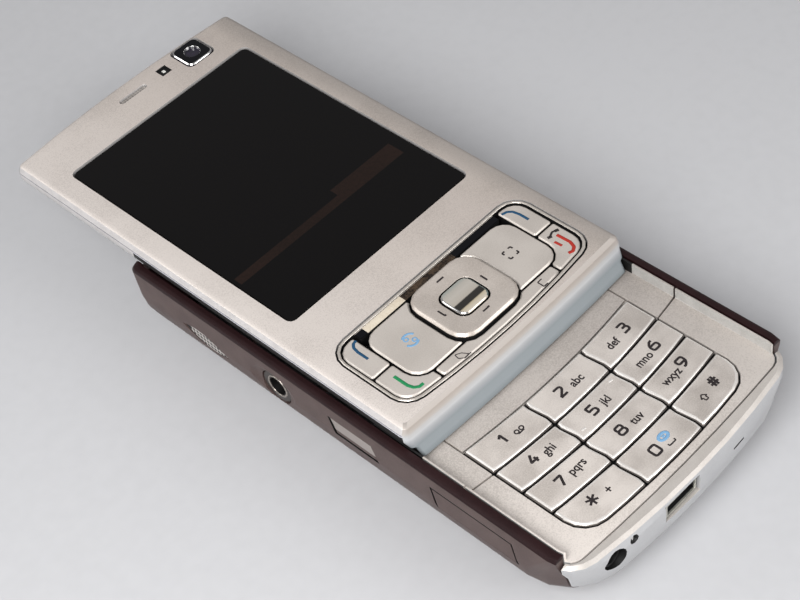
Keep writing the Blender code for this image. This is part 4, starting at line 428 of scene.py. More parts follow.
    # Black painted where only shade falls: in gaps, recesses, sockets and under the display half
    GAP_BLACK = Finish("painted shade black", 0x080708, 0x0C0B0C, 0.0, 0.6, 0.1, 6000, mottle_share=0.5)
    RUBBER = Finish("grey silicone", 0x1E1E20, 0x18181A, 0.0, 0.75, 0.1, 3500, 2e-5, 200, 0.5)
    BOARD = Finish("circuit board", 0x18422E, 0x103022, 0.0, 0.5, 0.1, 2500, 2e-5, 700, 0.6)
    CELL = Finish("wrapped cell", 0x7E8288, 0x6E7278, 0.2, 0.5, 0.1, 4000, 1e-5, 200)
    DISPLAY_BACK = Finish("display module", 0x787B7F, 0x64676C, 0.5, 0.45, 0.1, 4000, 1e-5, 250)
    MESH = Finish("speaker mesh", 0xCEC8C2, 0xA09A95, 0.5, 0.38, 0.08, 5000, 1e-5, 700, 0.5,
        dots=0.0008)
    EAR_MESH = Finish("earpiece mesh", 0xA8A29C, 0x827D78, 0.4, 0.4, 0.08, 5000, 1e-5, 700, 0.5,
        dots=0.0006)
    EYELET = Finish("jack's eyelet", 0xA8A098, 0x78716A, 0.85, 0.24, 0.06, 4000, 4e-6, 500, 0.5)
    LENS = Finish("coated lens", 0x100E1E, 0x1E102A, 0.0, 0.05, 0.02, 1500, 5e-7, 300, 0.6, 0.8)
    DIFFUSER = Finish("flash diffuser", 0xDEDED8, 0xCCCCC6, 0.0, 0.16, 0.05, 1800, 2e-5, 900, 0.5,
        0.3)
    DARK_INK = Finish("dark legend ink", 0x221C1D, 0x2C2626, 0.0, 0.55, 0.1, 8000, 4e-6, 900)
    BLUE_INK = Finish("blue legend ink", 0x1A4664, 0x143A56, 0.0, 0.5, 0.08, 8000, 4e-6, 900)
    SKY_INK = Finish("light blue legend ink", 0x6C96BA, 0x80A4C2, 0.0, 0.5, 0.08, 8000, 4e-6, 900)
    GREEN_INK = Finish("green legend ink", 0x1E7C4C, 0x1A6C42, 0.0, 0.5, 0.08, 8000, 4e-6, 900)
    RED_INK = Finish("red legend ink", 0xA43024, 0x92281E, 0.0, 0.5, 0.08, 8000, 4e-6, 900)
    PALE_INK = Finish("pale raised mark", 0xF0EBE6, 0xE2DCD6, 0.5, 0.3, 0.05, 6000, 4e-6, 500, 0.3)
    FLOOR = Finish("studio floor", 0xBCBCBE, 0xB6B6B8, 0.0, 0.7, 0.05, 400, 1e-5, 6)


def arc(centre: Point, radius: float, start: float, end: float, steps: int = 12,
        squash: float = 1.0) -> list[Point]:
    """Points along an arc in millimetres, from one angle to another in degrees."""
    angles = [math.radians(start + (end - start) * step / steps) for step in range(steps + 1)]
    return [(centre[0] + radius * math.cos(a), centre[1] + radius * squash * math.sin(a))
            for a in angles]


@dataclass(frozen=True)
class Mark:
    """A flat, round-ended stroke of ink through points given in millimetres."""

    width: float
    points: list[Point]
    closed: bool = False

    CORNER_REACH: ClassVar[float] = 0.16
    CORNER_SHARE: ClassVar[float] = 0.4
    CORNER_STEPS: ClassVar[int] = 4

    def drawn(self, z: float) -> Thing:
        """Lay the stroke on a surface.

        Args:
            z: The surface's height.

        Returns:
            The stroke as a mesh.
        """
        points = self.eased()
        curve = bpy.data.curves.new("stroke", "CURVE")
        curve.dimensions = "3D"
        curve.bevel_depth = self.width / 2
        curve.bevel_resolution = 2
        curve.use_fill_caps = True
        line = curve.splines.new("POLY")
        line.points.add(len(points) - 1)
        for target, (x, y) in zip(line.points, points):
            target.co = (x * MM, y * MM, 0, 1)
        line.use_cyclic_u = self.closed
        pick(placed("stroke", curve))
        bpy.ops.object.convert(target="MESH")
        thing = bpy.context.active_object
        thing.data.transform(Matrix.Translation((0, 0, z))
                             @ Matrix.Diagonal((1, 1, STROKE_FLATNESS, 1)))
        return thing

    def eased(self) -> list[Point]:
        """Round the corners a little, so that the stroke keeps its width through them.

        Returns:
            The points of the rounded line.
        """
        points, steps = self.points, self.CORNER_STEPS
        made = [] if self.closed else [points[0]]
        for index in range(len(points)) if self.closed else range(1, len(points) - 1):
            before, corner, after = (Vector(points[(index + step) % len(points)])
                                     for step in (-1, 0, 1))
            start, end = (corner + (other - corner) * min(
                self.CORNER_SHARE, self.CORNER_REACH / (other - corner).length)
                for other in (before, after))
            for share in (step / steps for step in range(steps + 1)):
                made.append(tuple(start.lerp(corner, share).lerp(corner.lerp(end, share), share)))
        return made if self.closed else [*made, points[-1]]


def pick(*things: Thing) -> None:
    """Select these objects alone.

    Args:
        things: The objects; the first becomes the active one.
    """
    bpy.ops.object.select_all(action="DESELECT")
    for thing in things:
        thing.select_set(True)
    bpy.context.view_layer.objects.active = things[0]


def placed(name: str, data: bpy.types.ID) -> Thing:
    """Put a mesh, curve, light or camera into the scene.

    Args:
        name: The new object's name.
        data: What it shows.

    Returns:
        The new object.
    """
    thing = bpy.data.objects.new(name, data)
    bpy.context.scene.collection.objects.link(thing)
    return thing


def added(name: str) -> Thing:
    """Name the object that was just made and place it in its mesh.

    Args:
        name: Its new name.

    Returns:
        The object.
    """
    thing = bpy.context.active_object
    bpy.ops.object.transform_apply(location=True, rotation=True, scale=True)
    thing.name = name
    return thing


def copied(node: str, name: str) -> Thing:
    """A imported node's solid as a new piece with its points merged.

    Args:
        node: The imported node.
        name: The new piece's name.

    Returns:
        The new object, selected alone.
    """
    mesh = frame["nodes"][node].data.copy()
    mesh.name = name
    mesh.materials.clear()
    thing = placed(name, mesh)
    pick(thing)
    if mesh.has_custom_normals:
        bpy.ops.mesh.customdata_custom_splitnormals_clear()
    bpy.ops.object.mode_set(mode="EDIT")
    bpy.ops.mesh.select_all(action="SELECT")
    bpy.ops.mesh.remove_doubles(threshold=MERGE_REACH)
    bpy.ops.mesh.dissolve_limited(angle_limit=FLAT_ANGLE)
    bpy.ops.object.mode_set(mode="OBJECT")
    return thing


def evened(thing: Thing) -> None:
    """Shade flat faces flat and softened edges smoothly."""
    modified(thing, "WEIGHTED_NORMAL", keep_sharp=True)


def modified(thing: Thing, kind: str, **settings: object) -> None:
    """Change a piece's mesh with a modifier.

    Args:
        thing: The piece.
        kind: The modifier's type.
        settings: The modifier's settings.
    """
    pick(thing)
    change = thing.modifiers.new(kind, kind)
    for key, value in settings.items():
        setattr(change, key, value)
    bpy.ops.object.modifier_apply(modifier=change.name)


def coated(thing: Thing, coat: Coat) -> Thing:
    """Give a piece one finish all over.

    Args:
        thing: The piece.
        coat: The finish.

    Returns:
        The same piece.
    """
    thing.data.materials.clear()
    thing.data.materials.append(coat.value.material())
    return thing


def painted(thing: Thing, coat: Coat, chosen: Test) -> None:
    """Give the faces that a test picks a second finish.

    Args:
        thing: The piece.
        coat: The second finish.
        chosen: A test on a face's middle and normal.
    """
    thing.data.materials.append(coat.value.material())
    index = len(thing.data.materials) - 1
    for face in thing.data.polygons:
        if chosen(face.center, face.normal):
            face.material_index = index


def sliced(thing: Thing, axis: Point, *places: float) -> None:
    """Cut edges round a piece, so that its faces part there.

    Args:
        thing: The piece.
        axis: The direction that the cuts are square to.
        places: How far along the axis each cut lies.
    """
    pick(thing)
    bpy.ops.object.mode_set(mode="EDIT")
    for place in places:
        bpy.ops.mesh.select_all(action="SELECT")
        bpy.ops.mesh.bisect(plane_co=Vector(axis) * place, plane_no=axis)
    bpy.ops.object.mode_set(mode="OBJECT")


def shaded_gap_walls(thing: Thing, node: str, margin: float = 0.0005, facing: Point = (1, 0, 0)) -> None:
    """Paint shade black on the side walls of the gap between a piece and the node set into it.

    Args:
        thing: The piece that is painted.
        node: The node whose outline it is.
        margin: How far round the node the walls count.
        facing: The direction that the gap opens to.
    """
    low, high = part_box(node)
    low, high = [value - margin for value in low], [value + margin for value in high]
    look = Vector(facing)
    painted(thing, Coat.GAP_BLACK, lambda middle, normal: abs(normal.dot(look)) < GAP_WALL
            and all(a < value < b for a, value, b in zip(low, middle, high)))


def height(thing: Thing, place: Point) -> float:
    """Find the height of a piece's upper surface.

    Args:
        thing: The piece.
        place: Where, x and y in millimetres.

    Returns:
        The height.
    """
    hit, spot, _, _ = thing.ray_cast(Vector((place[0] * MM, place[1] * MM, RAY_START)),
                                     Vector((0, 0, -1)))
    return spot.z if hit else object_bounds()[1].z


def capped(node: str, name: str, top: Coat, width: float, segments: int = 3,
           rim: Coat | None = None) -> Thing:
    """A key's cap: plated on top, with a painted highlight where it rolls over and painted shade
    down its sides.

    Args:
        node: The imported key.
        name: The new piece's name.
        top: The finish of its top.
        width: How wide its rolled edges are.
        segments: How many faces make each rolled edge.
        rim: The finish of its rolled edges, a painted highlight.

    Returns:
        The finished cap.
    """
    cap = skin(node, name, top, width, segments)
    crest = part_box(node)[1].z - width * CREST_SHARE
    if rim:
        foot = crest - LIT_SIDE
        sliced(cap, (0, 0, 1), foot)
        # Painted highlight on the rolled edges; below the crest, painted shade on the sides, black
        # lower down
        painted(cap, rim, lambda middle, normal: normal.z < ROLLED)
        painted(cap, Coat.KEY_SIDE, lambda middle, normal: middle.z < crest)
        painted(cap, Coat.GAP_BLACK, lambda middle, normal: middle.z < foot)
    else:
        # Keys without a rim: painted shade black down their sides
        painted(cap, Coat.GAP_BLACK, lambda middle, normal: normal.z < SIDE_WALL)
    return cap


def skin(node: str, name: str, coat: Coat, width: float, segments: int = 2) -> Thing:
    """A softened copy of a node that is shown in its place.

    Args:
        node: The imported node.
        name: The new piece's name.
        coat: Its finish.
        width: How wide its softened edges are, in metres.
        segments: How many faces make each softened edge.

    Returns:
        The new piece, riding with the node's body.
    """
    thing = copied(node, name)
    modified(thing, "BEVEL", width=width, segments=segments, limit_method="ANGLE",
             angle_limit=EDGE_ANGLE, use_clamp_overlap=True, miter_outer="MITER_ARC")
    bpy.ops.object.shade_smooth_by_angle(angle=SMOOTH_ANGLE)
    coated(thing, coat)
    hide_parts(node)
    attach(thing, frame["nodes"][node]["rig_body"])
    return thing


def dress(node: str, coat: Coat) -> None:
    """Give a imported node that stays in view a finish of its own.

    Args:
        node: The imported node.
        coat: Its finish.
    """
    thing = frame["nodes"][node]
    if not thing.material_slots:
        thing.data.materials.append(None)
    for place in thing.material_slots:
        place.link = "OBJECT"
        place.material = coat.value.material()


def fitted(thing: Thing, node: str, coat: Coat) -> Thing:
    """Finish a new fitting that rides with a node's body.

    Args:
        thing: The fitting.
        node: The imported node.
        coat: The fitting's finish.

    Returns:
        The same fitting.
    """
    coated(thing, coat)
    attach(thing, frame["nodes"][node]["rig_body"])
    return thing


def printed(name: str, node: str, coat: Coat, things: list[Thing]) -> Thing:
    """Join strokes and letters into one piece that rides with a node.

    Args:
        name: The new piece's name.
        node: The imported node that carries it.
        coat: Its ink.
        things: The strokes and letters.

    Returns:
        The finished piece.
    """
    pick(*things)
    bpy.ops.object.join()
    whole = added(name)
    whole.data.name = name
    return fitted(whole, node, coat)


def lettering(text: str, middle: Point, z: float, size: float, narrow: float,
              heavier: float) -> Thing:
    """Flat raised figures or letters, centred on a place.

    Args:
        text: What it reads.
        middle: The centre, x and y in millimetres.
        z: The height of the surface that it lies on.
        size: The height of the tallest figure, in millimetres.
        narrow: How much narrower than tall the letters are drawn.
        heavier: Extra thickness of each stroke, in metres.

    Returns:
        The lettering as a mesh.
    """
    bpy.ops.object.text_add()
    thing = bpy.context.active_object
    thing.data.body = text
    thing.data.size = size * MM / CAP_HEIGHT
    thing.data.offset = heavier
    thing.data.extrude = INK_THICKNESS
    thing.data.resolution_u = 4
    bpy.ops.object.convert(target="MESH")
    thing = bpy.context.active_object
    xs, ys = ([point.co[axis] for point in thing.data.vertices] for axis in (0, 1))
    centre = Vector(((min(xs) + max(xs)) / 2, (min(ys) + max(ys)) / 2, 0))
    place = Matrix.Translation((middle[0] * MM, middle[1] * MM, z))
    thing.data.transform(place @ Matrix.Diagonal((narrow, 1, 1, 1))
                         @ Matrix.Translation(-centre))
    return thing


@dataclass
class BaseShell:
    """The plum shell, its battery cover, side windows and keys."""

    edge: float = 0.00012
    shade_line: float = 0.0154
    window_edge: float = 0.0002
    window_sill: float = 0.0009

    def build(self) -> list[Thing]:
        """Build and dress every outer piece of the base half.

        Returns:
            The pieces made.
        """
        shell = skin("base_housing", "plum_shell", Coat.PLUM, self.edge)
        # Below the shade line the shell is painted the lighter plum: painted reflected light on
        # its sides
        sliced(shell, (0, 0, 1), self.shade_line)
        painted(shell, Coat.PLUM_SIDE, lambda middle, normal: middle.z < self.shade_line)
        # The battery cover, card door and side keys all take the lit plum: painted reflected light
        cover = skin("battery_cover", "plum_battery_cover", Coat.PLUM_SIDE, self.edge)
        window = skin("infrared_window", "smoked_window", Coat.WINDOW, self.window_edge)
        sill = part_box("infrared_window")[0].z + self.window_sill
        # The window's lower part is painted the lit plum of the sides, so that the window looks
        # shorter
        sliced(window, (0, 0, 1), sill)
        painted(window, Coat.PLUM_SIDE, lambda middle, normal: middle.z < sill)
        door = skin("card_door", "plum_card_door", Coat.PLUM_SIDE, self.edge)
        keys = [skin(node, f"{node}_cap", Coat.PLUM_SIDE, self.edge)
                for node in ("volume_rocker", "camera_key", "power_key")]
        # Painted shade on the walls of the gaps round the window and the card door
        for piece, node in ((window, "infrared_window"), (door, "card_door")):
            shaded_gap_walls(shell, node)
            shaded_gap_walls(piece, node)
        dress("battery", Coat.CELL)
        dress("main_board", Coat.BOARD)
        return [shell, cover, window, door, *keys]


@dataclass
class EndCap:
    """The pale cap with its three sockets and the strap's bar."""

    edge: float = 0.0001
    socket_edge: float = 0.00005
    socket_gap: float = 0.0003
    top_lean: float = 0.8
    wall_lean: float = 0.6
    under_lean: float = -0.5
    bar_radius: float = 0.00035
    bar_length: float = 0.0022
    bar_place: Point = (0.0019, -0.0006, -0.00055)
    bar_softness: float = 0.0001
    slit_front: float = -0.0489
    slit_x: Point = (0.0080, 0.0113)
    slit_z: Point = (0.0097, 0.0114)
    strap_hole_x: Point = (-0.0157, -0.0131)
    strap_hole_z: Point = (0.0108, 0.0136)
    lip: float = 0.0003
    rim: float = 0.0001

    def build(self) -> list[Thing]:
        """Build the cap and its fittings.

        Returns:
            The pieces made.
        """
        cap = skin("end_cap", "pale_cap", Coat.CAP_SILVER, self.edge)
        # The cap's top faces take a warmer tone: painted light
        painted(cap, Coat.CAP_TOP, lambda middle, normal: normal.z > self.top_lean)
        # Painted shade: the charger's gap walls, the microphone slit, the strap hole, the inside
        # of the USB socket and the charger's barrel are black
        shaded_gap_walls(cap, "charger_socket", self.socket_gap, (0, 1, 0))
        painted(cap, Coat.GAP_BLACK, lambda middle, normal: inside(middle.x, self.slit_x)
                and inside(middle.z, self.slit_z)
                and (abs(normal.y) < self.wall_lean or middle.y > self.slit_front))
        painted(cap, Coat.GAP_BLACK, lambda middle, normal: normal.y > -self.wall_lean
                and inside(middle.x, self.strap_hole_x)
                and inside(middle.z, self.strap_hole_z))
        low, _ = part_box("usb_socket")
        socket = skin("usb_socket", "usb_shell", Coat.USB_STEEL, self.socket_edge)
        sliced(socket, (0, 1, 0), low.y + self.lip)
        painted(socket, Coat.GAP_BLACK, lambda middle, normal: middle.y > low.y + self.lip
                or (normal.z < self.under_lean and middle.y > low.y + self.rim))
        charger = skin("charger_socket", "charger_barrel", Coat.GAP_BLACK, self.socket_edge)
        return [cap, socket, charger, self.strap_bar()]

    def strap_bar(self) -> Thing:
        """Build the bright bar that a wrist strap ties to.

        Returns:
            The finished bar.
        """
        low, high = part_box("charger_socket")
        x, y, z = self.bar_place
        bpy.ops.mesh.primitive_cylinder_add(vertices=16, radius=self.bar_radius,
                                            depth=self.bar_length,
                                            location=(high.x + x, low.y + y, high.z + z))
        bar = added("strap_bar")
        bpy.ops.object.mode_set(mode="EDIT")
        bpy.ops.mesh.select_all(action="SELECT")
        bpy.ops.mesh.bevel(offset=self.bar_softness, segments=2)
        bpy.ops.object.mode_set(mode="OBJECT")
        bpy.ops.object.shade_smooth_by_angle(angle=SMOOTH_ANGLE)
        return fitted(bar, "end_cap", Coat.CHROME)


@dataclass
class SideFittings:
    """The speakers' meshes and the headset jack."""

    mesh_edge: float = 0.00006
    jack_edge: float = 0.00008
    eyelet: float = 0.00205
    eyelet_wire: float = 0.0002
    eyelet_stand: float = 0.00008
    bore_depth: float = 0.0004
    bore_facing: float = -0.3
    speaker_tip: float = 0.0024

    def build(self) -> list[Thing]:
        """Build the fittings of both side walls.

        Returns:
            The pieces made.
        """
        made = []
        for side in ("left", "right"):
            mesh = skin(f"{side}_speaker", f"{side}_speaker_mesh", Coat.MESH, self.mesh_edge)
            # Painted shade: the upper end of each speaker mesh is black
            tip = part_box(f"{side}_speaker")[1].y - self.speaker_tip
            sliced(mesh, (0, 1, 0), tip)
            painted(mesh, Coat.GAP_BLACK, lambda middle, normal: middle.y > tip)
            made.append(mesh)
        jack = skin("headset_jack", "jack_body", Coat.BLACK, self.jack_edge)
        low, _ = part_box("headset_jack")
        painted(jack, Coat.DARK_STEEL, lambda middle, normal: middle.x < low.x + self.bore_depth
                and normal.x < self.bore_facing)
        return [*made, jack, self.jack_ring()]

    def jack_ring(self) -> Thing:
        """Build the bright eyelet round the jack's bore.

        Returns:
            The finished eyelet.
        """
        low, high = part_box("headset_jack")
        middle = (low + high) / 2
        bpy.ops.mesh.primitive_torus_add(
            location=(low.x + self.eyelet_stand, middle.y, middle.z), rotation=(0, math.pi / 2, 0),
            major_segments=48, minor_segments=10, major_radius=self.eyelet,
            minor_radius=self.eyelet_wire)
        ring = added("jack_eyelet")
        bpy.ops.object.shade_smooth()
        return fitted(ring, "headset_jack", Coat.EYELET)


@dataclass
class Deck:
    """The silver plates round the keypad, and what lies under them."""

    edge: float = 0.0001
    wall_start: float = 0.0238
    wall_lean: float = 0.7
    shaded_from: float = -0.0172

    def build(self) -> list[Thing]:
        """Build the deck's plates and dress what lies below.

        Returns:
            The pieces made.
        """
        # These plates' silver carries painted shade near the slider
        plates = [skin(node, f"{node}_plate", Coat.DECK_SILVER, self.edge)
                  for node in ("upper_bezel", "lower_bezel", "keypad_strip")]
        sliced(plates[0], (0, 1, 0), self.shaded_from)
        # The upstand walls along the sides are painted a darker grey than the deck, as painted
        # shade
        for plate in plates[:2]:
            painted(plate, Coat.DECK_WALL, lambda middle, normal: abs(normal.x) > self.wall_lean
                    and abs(middle.x) > self.wall_start)
        # Painted shadow: the upper plate's walls under the slider are painted black
        painted(plates[0], Coat.GAP_BLACK, lambda middle, normal: middle.y > self.shaded_from
                and abs(middle.x) > self.wall_start)
        panel = skin("media_panel", "media_surround", Coat.PLUM, self.edge)
        media = [skin(node, f"{node}_cap", Coat.BLACK, self.edge)
                 for node in ("rewind_key", "play_key", "forward_key", "stop_key")]
        dress("keypad_mat", Coat.RUBBER)
        dress("slide_carriage", Coat.STEEL)
        return [*plates, panel, *media]


@dataclass
class Keypad:
    """Twelve plated number keys with printed figures and letters."""

    edge: float = 0.00026
    figure: float = 1.75
    figure_width: float = 0.82
    figure_stroke: float = 0.00044
    letters: float = 1.5
    letter_width: float = 0.9
    letter_weight: float = 0.00005

    LEGENDS: ClassVar[dict[str, tuple[str, Point, str, Point]]] = {
        "key_1": ("1", (-13.7, -23.3), "", ()),
        "key_2": ("2", (-1.6, -24.2), "abc", (1.7, -24.6)),
        "key_3": ("3", (14.15, -23.6), "def", (10.8, -24.3)),
        "key_4": ("4", (-13.7, -29.25), "ghi", (-10.9, -30.1)),
        "key_5": ("5", (-1.3, -30.2), "jkl", (1.35, -30.7)),
        "key_6": ("6", (14.3, -29.4), "mno", (11.2, -30.3)),
        "key_7": ("7", (-14.2, -35.1), "pqrs", (-10.7, -35.6)),
        "key_8": ("8", (-1.5, -35.95), "tuv", (1.7, -36.4)),
        "key_9": ("9", (14.3, -34.9), "wxyz", (11.1, -35.9)),
        "key_star": ("", (), "+", (-11.0, -41.3)),
        "key_0": ("0", (-1.3, -42.2), "", ()),
        "key_hash": ("#", (14.2, -40.9), "", ())}
    DARK_MARKS: ClassVar[dict[str, list[Mark]]] = {
        "key_1": [*(Mark(0.00026, arc((x, -24.05), 0.36, 0, 345), True) for x in (-11.42, -10.38)),
                  Mark(0.00026, [(-11.5, -24.55), (-10.3, -24.55)])],
        "key_star": [Mark(0.0004, arc((-13.95, -40.7), 1.0, angle, angle + 180, 1))
                     for angle in (30, 90, 150)],
        "key_0": [Mark(0.00026, [(0.7, -42.95), (0.7, -43.35), (2.1, -43.35), (2.1, -42.95)])],
        "key_hash": [Mark(0.00024, [(11.0, -41.05), (11.65, -41.7), (11.3, -41.7), (11.3, -42.3),
                                    (10.7, -42.3), (10.7, -41.7), (10.35, -41.7)], True)]}
    COLOURED_MARKS: ClassVar[dict[str, tuple[str, Coat, list[Mark]]]] = {
        "key_0": ("key_0_ring_mark", Coat.SKY_INK, [
            Mark(0.00055, arc((1.45, -41.5), 0.9, 0, 345, 20, 0.62), True),
            Mark(0.00045, [(1.15, -41.5), (1.75, -41.5)])]),
        "key_5": ("key_5_finger_marks", Coat.PALE_INK, [
            Mark(0.00036, [(4.4, -28.7), (5.2, -28.8)]),
            Mark(0.00036, [(-5.2, -31.4), (-4.4, -31.6)])])}

    def build(self) -> list[Thing]:
        """Build the keys and their legends.

        Returns:
            The pieces made.
        """
        made = []
        for node, (figure, place, word, word_place) in self.LEGENDS.items():
            # Number keys: painted light across the plating, a painted highlight on the rolled
            # edges
            made.append(capped(node, f"{node}_cap", Coat.KEY_METAL, self.edge, 3, Coat.KEY_EDGE))
            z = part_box(node)[1].z
            marks = self.digit(figure, place, z) if figure else []
            if word:
                marks.append(lettering(word, word_place, z, self.letters, self.letter_width,
                                       self.letter_weight))
            marks += [mark.drawn(z) for mark in self.DARK_MARKS.get(node, [])]
            made.append(printed(f"{node}_legend", node, Coat.DARK_INK, marks))
            if node in self.COLOURED_MARKS:
                name, coat, strokes = self.COLOURED_MARKS[node]
                made.append(printed(name, node, coat, [mark.drawn(z) for mark in strokes]))
        return made

    def digit(self, text: str, middle: Point, z: float) -> list[Thing]:
        """A wide, square-shouldered figure in strokes, laid out in hundredths of its size.

        Args:
            text: The figure.
            middle: Its centre, x and y in millimetres.
            z: The height of the key's top.

        Returns:
            Its strokes as meshes.
        """
        bowl = [(80, 52), (97, 42), (100, 30), (100, 20), (95, 6), (80, 0), (5, 0)]
        six = [(80, 100), (50, 98), (15, 75), (0, 50), (0, 20), (6, 5), (20, 0), (80, 0), (94, 5),
               (100, 20), (100, 36), (94, 50), (80, 55), (10, 55)]
        shapes = {
            "0": [[(20, 100), (80, 100), (95, 94), (100, 80), (100, 20), (95, 6), (80, 0), (20, 0),
                   (5, 6), (0, 20), (0, 80), (5, 94), (20, 100)]],
            "1": [[(20, 72), (60, 100), (60, 0)]],
            "2": [[(5, 100), (75, 100), (94, 93), (100, 80), (95, 62), (5, 2)],
                  [(2, 0), (100, 0)]],
            "3": [[(5, 100), (78, 100), (94, 94), (97, 80), (95, 66), (80, 54), (35, 54)], bowl],
            "4": [[(60, 100), (2, 30), (100, 30)], [(72, 60), (72, 0)]],
            "5": [[(95, 100), (10, 100), (10, 54), (80, 54)], bowl],
            "6": [six],
            "7": [[(0, 100), (100, 100), (35, 0)]],
            "8": [[(20, 54), (7, 62), (5, 85), (20, 100), (80, 100), (95, 85), (93, 62), (80, 54),
                   (20, 54)],
                  [(20, 54), (3, 42), (0, 15), (20, 0), (80, 0), (100, 15), (97, 42), (80, 54)]],
            "9": [[(100 - x, 100 - y) for x, y in six]],
            "#": [[(30, -5), (40, 105)], [(66, -5), (76, 105)], [(-2, 68), (108, 68)],
                  [(-6, 32), (104, 32)]]}
        wide, tall = self.figure * self.figure_width, self.figure
        return [Mark(self.figure_stroke, [(middle[0] + (x / 100 - 0.5) * wide,
                                           middle[1] + (y / 100 - 0.5) * tall)
                                          for x, y in line]).drawn(z)
                for line in shapes[text]]


@dataclass
class SliderShell:
    """The silver display half: shell, lip, display, earpiece and front camera."""

    edge: float = 0.00018
    seam: float = 0.01855
    highlight_band: float = 0.0003
    line: float = 0.00012
    skirt_end: float = 0.0478
    side_lean: float = 0.5
    lip: float = 0.0042
    lip_tilt: Point = (-0.3, 0.97)
    lip_facing: float = -0.2
    glass_edge: float = 0.0001
    mesh_edge: float = 0.00004
    lens_depth: float = 0.0001
    band_rows: Point = (0.0265, 0.0283, 0.0301)
    band_columns: Point = (-0.0197, 0.004, 0.018)
    sensor: Point = (7.15, 76.2)
    sensor_depth: float = 0.00002
    lens_reach: Point = (-0.2, 0.35)
    lens_width: float = 0.0008
    reach: float = 0.0022

    def build(self) -> list[Thing]:
        """Build the display half's outer pieces.

        Returns:
            The pieces made.
        """
        # The face's silver carries painted shade that darkens towards its right edge
        shell = skin("front_housing", "silver_shell", Coat.WARM_SILVER, self.edge, 3)
        low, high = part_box("front_housing")
        front = low.y + self.lip
        groove = self.seam + self.highlight_band
        sliced(shell, (0, 0, 1), self.seam, groove, groove + self.line)
        sliced(shell, (0, 1, 0), front, self.skirt_end)
        painted(shell, Coat.SIDE_SILVER, lambda middle, normal: normal.z < self.side_lean)
        # Along the sides: a painted highlight band just above the seam, and painted shade black
        # below it where the skirt sits between the base's walls
        for coat, bottom, top in ((Coat.SIDE_LIGHT, self.seam, groove),
                                  (Coat.GAP_BLACK, 0.0, self.seam)):
            painted(shell, coat, lambda middle, normal: normal.z < FACES_UP
                    and bottom < middle.z < top and middle.y < self.skirt_end)
        painted(shell, Coat.GROOVE, lambda middle, normal: normal.z < FACES_UP
                and groove < middle.z < groove + self.line)
        # The lip, with its painted reflection bands
        painted(shell, Coat.LIP, lambda middle, normal: middle.y < front
                and inside(normal.z, self.lip_tilt) and normal.y < self.lip_facing)
        glass = skin("display_window", "display_glass", Coat.GLASS, self.glass_edge)
        sliced(glass, (0, 1, 0), *self.band_rows)
        sliced(glass, (1, 0, 0), *self.band_columns)
        foot, thin, thick = self.band_rows
        left, step, right = self.band_columns
        painted(glass, Coat.GLASS_BAND, lambda middle, normal: normal.z > FACES_UP
                and (inside(middle.x, (left, step)) and inside(middle.y, (foot, thin))
                     or inside(middle.x, (step, right)) and inside(middle.y, (foot, thick))))
        grille = skin("earpiece", "earpiece_mesh", Coat.EAR_MESH, self.mesh_edge)
        camera = skin("front_camera", "front_camera_bezel", Coat.CHROME, self.glass_edge, 3)
        # The camera's own black glass on top
        painted(camera, Coat.STRIP_BLACK, lambda middle, normal: normal.z > FACES_UP)
        painted(camera, Coat.LENS, lambda middle, normal: middle.z < high.z - self.lens_depth)
        # Painted shade: the recess round the light sensor is black
        x, y = (value * MM for value in self.sensor)
        painted(shell, Coat.GAP_BLACK, lambda middle, normal: abs(middle.x - x) < self.reach
                and abs(middle.y - y) < self.reach and middle.z < high.z - self.sensor_depth)
        left, right = (self.sensor[0] + step for step in self.lens_reach)
        spot = Mark(self.lens_width, [(left, self.sensor[1]), (right, self.sensor[1])]).drawn(
            height(shell, self.sensor))
        spot.name = "light_sensor_lens"
        fitted(spot, "front_housing", Coat.DIFFUSER)
        dress("slide_plate", Coat.STEEL)
        dress("lcd_module", Coat.DISPLAY_BACK)
        # Painted shade: the board seen through the gaps is black
        dress("slider_board", Coat.GAP_BLACK)
        return [shell, glass, grille, camera, spot]


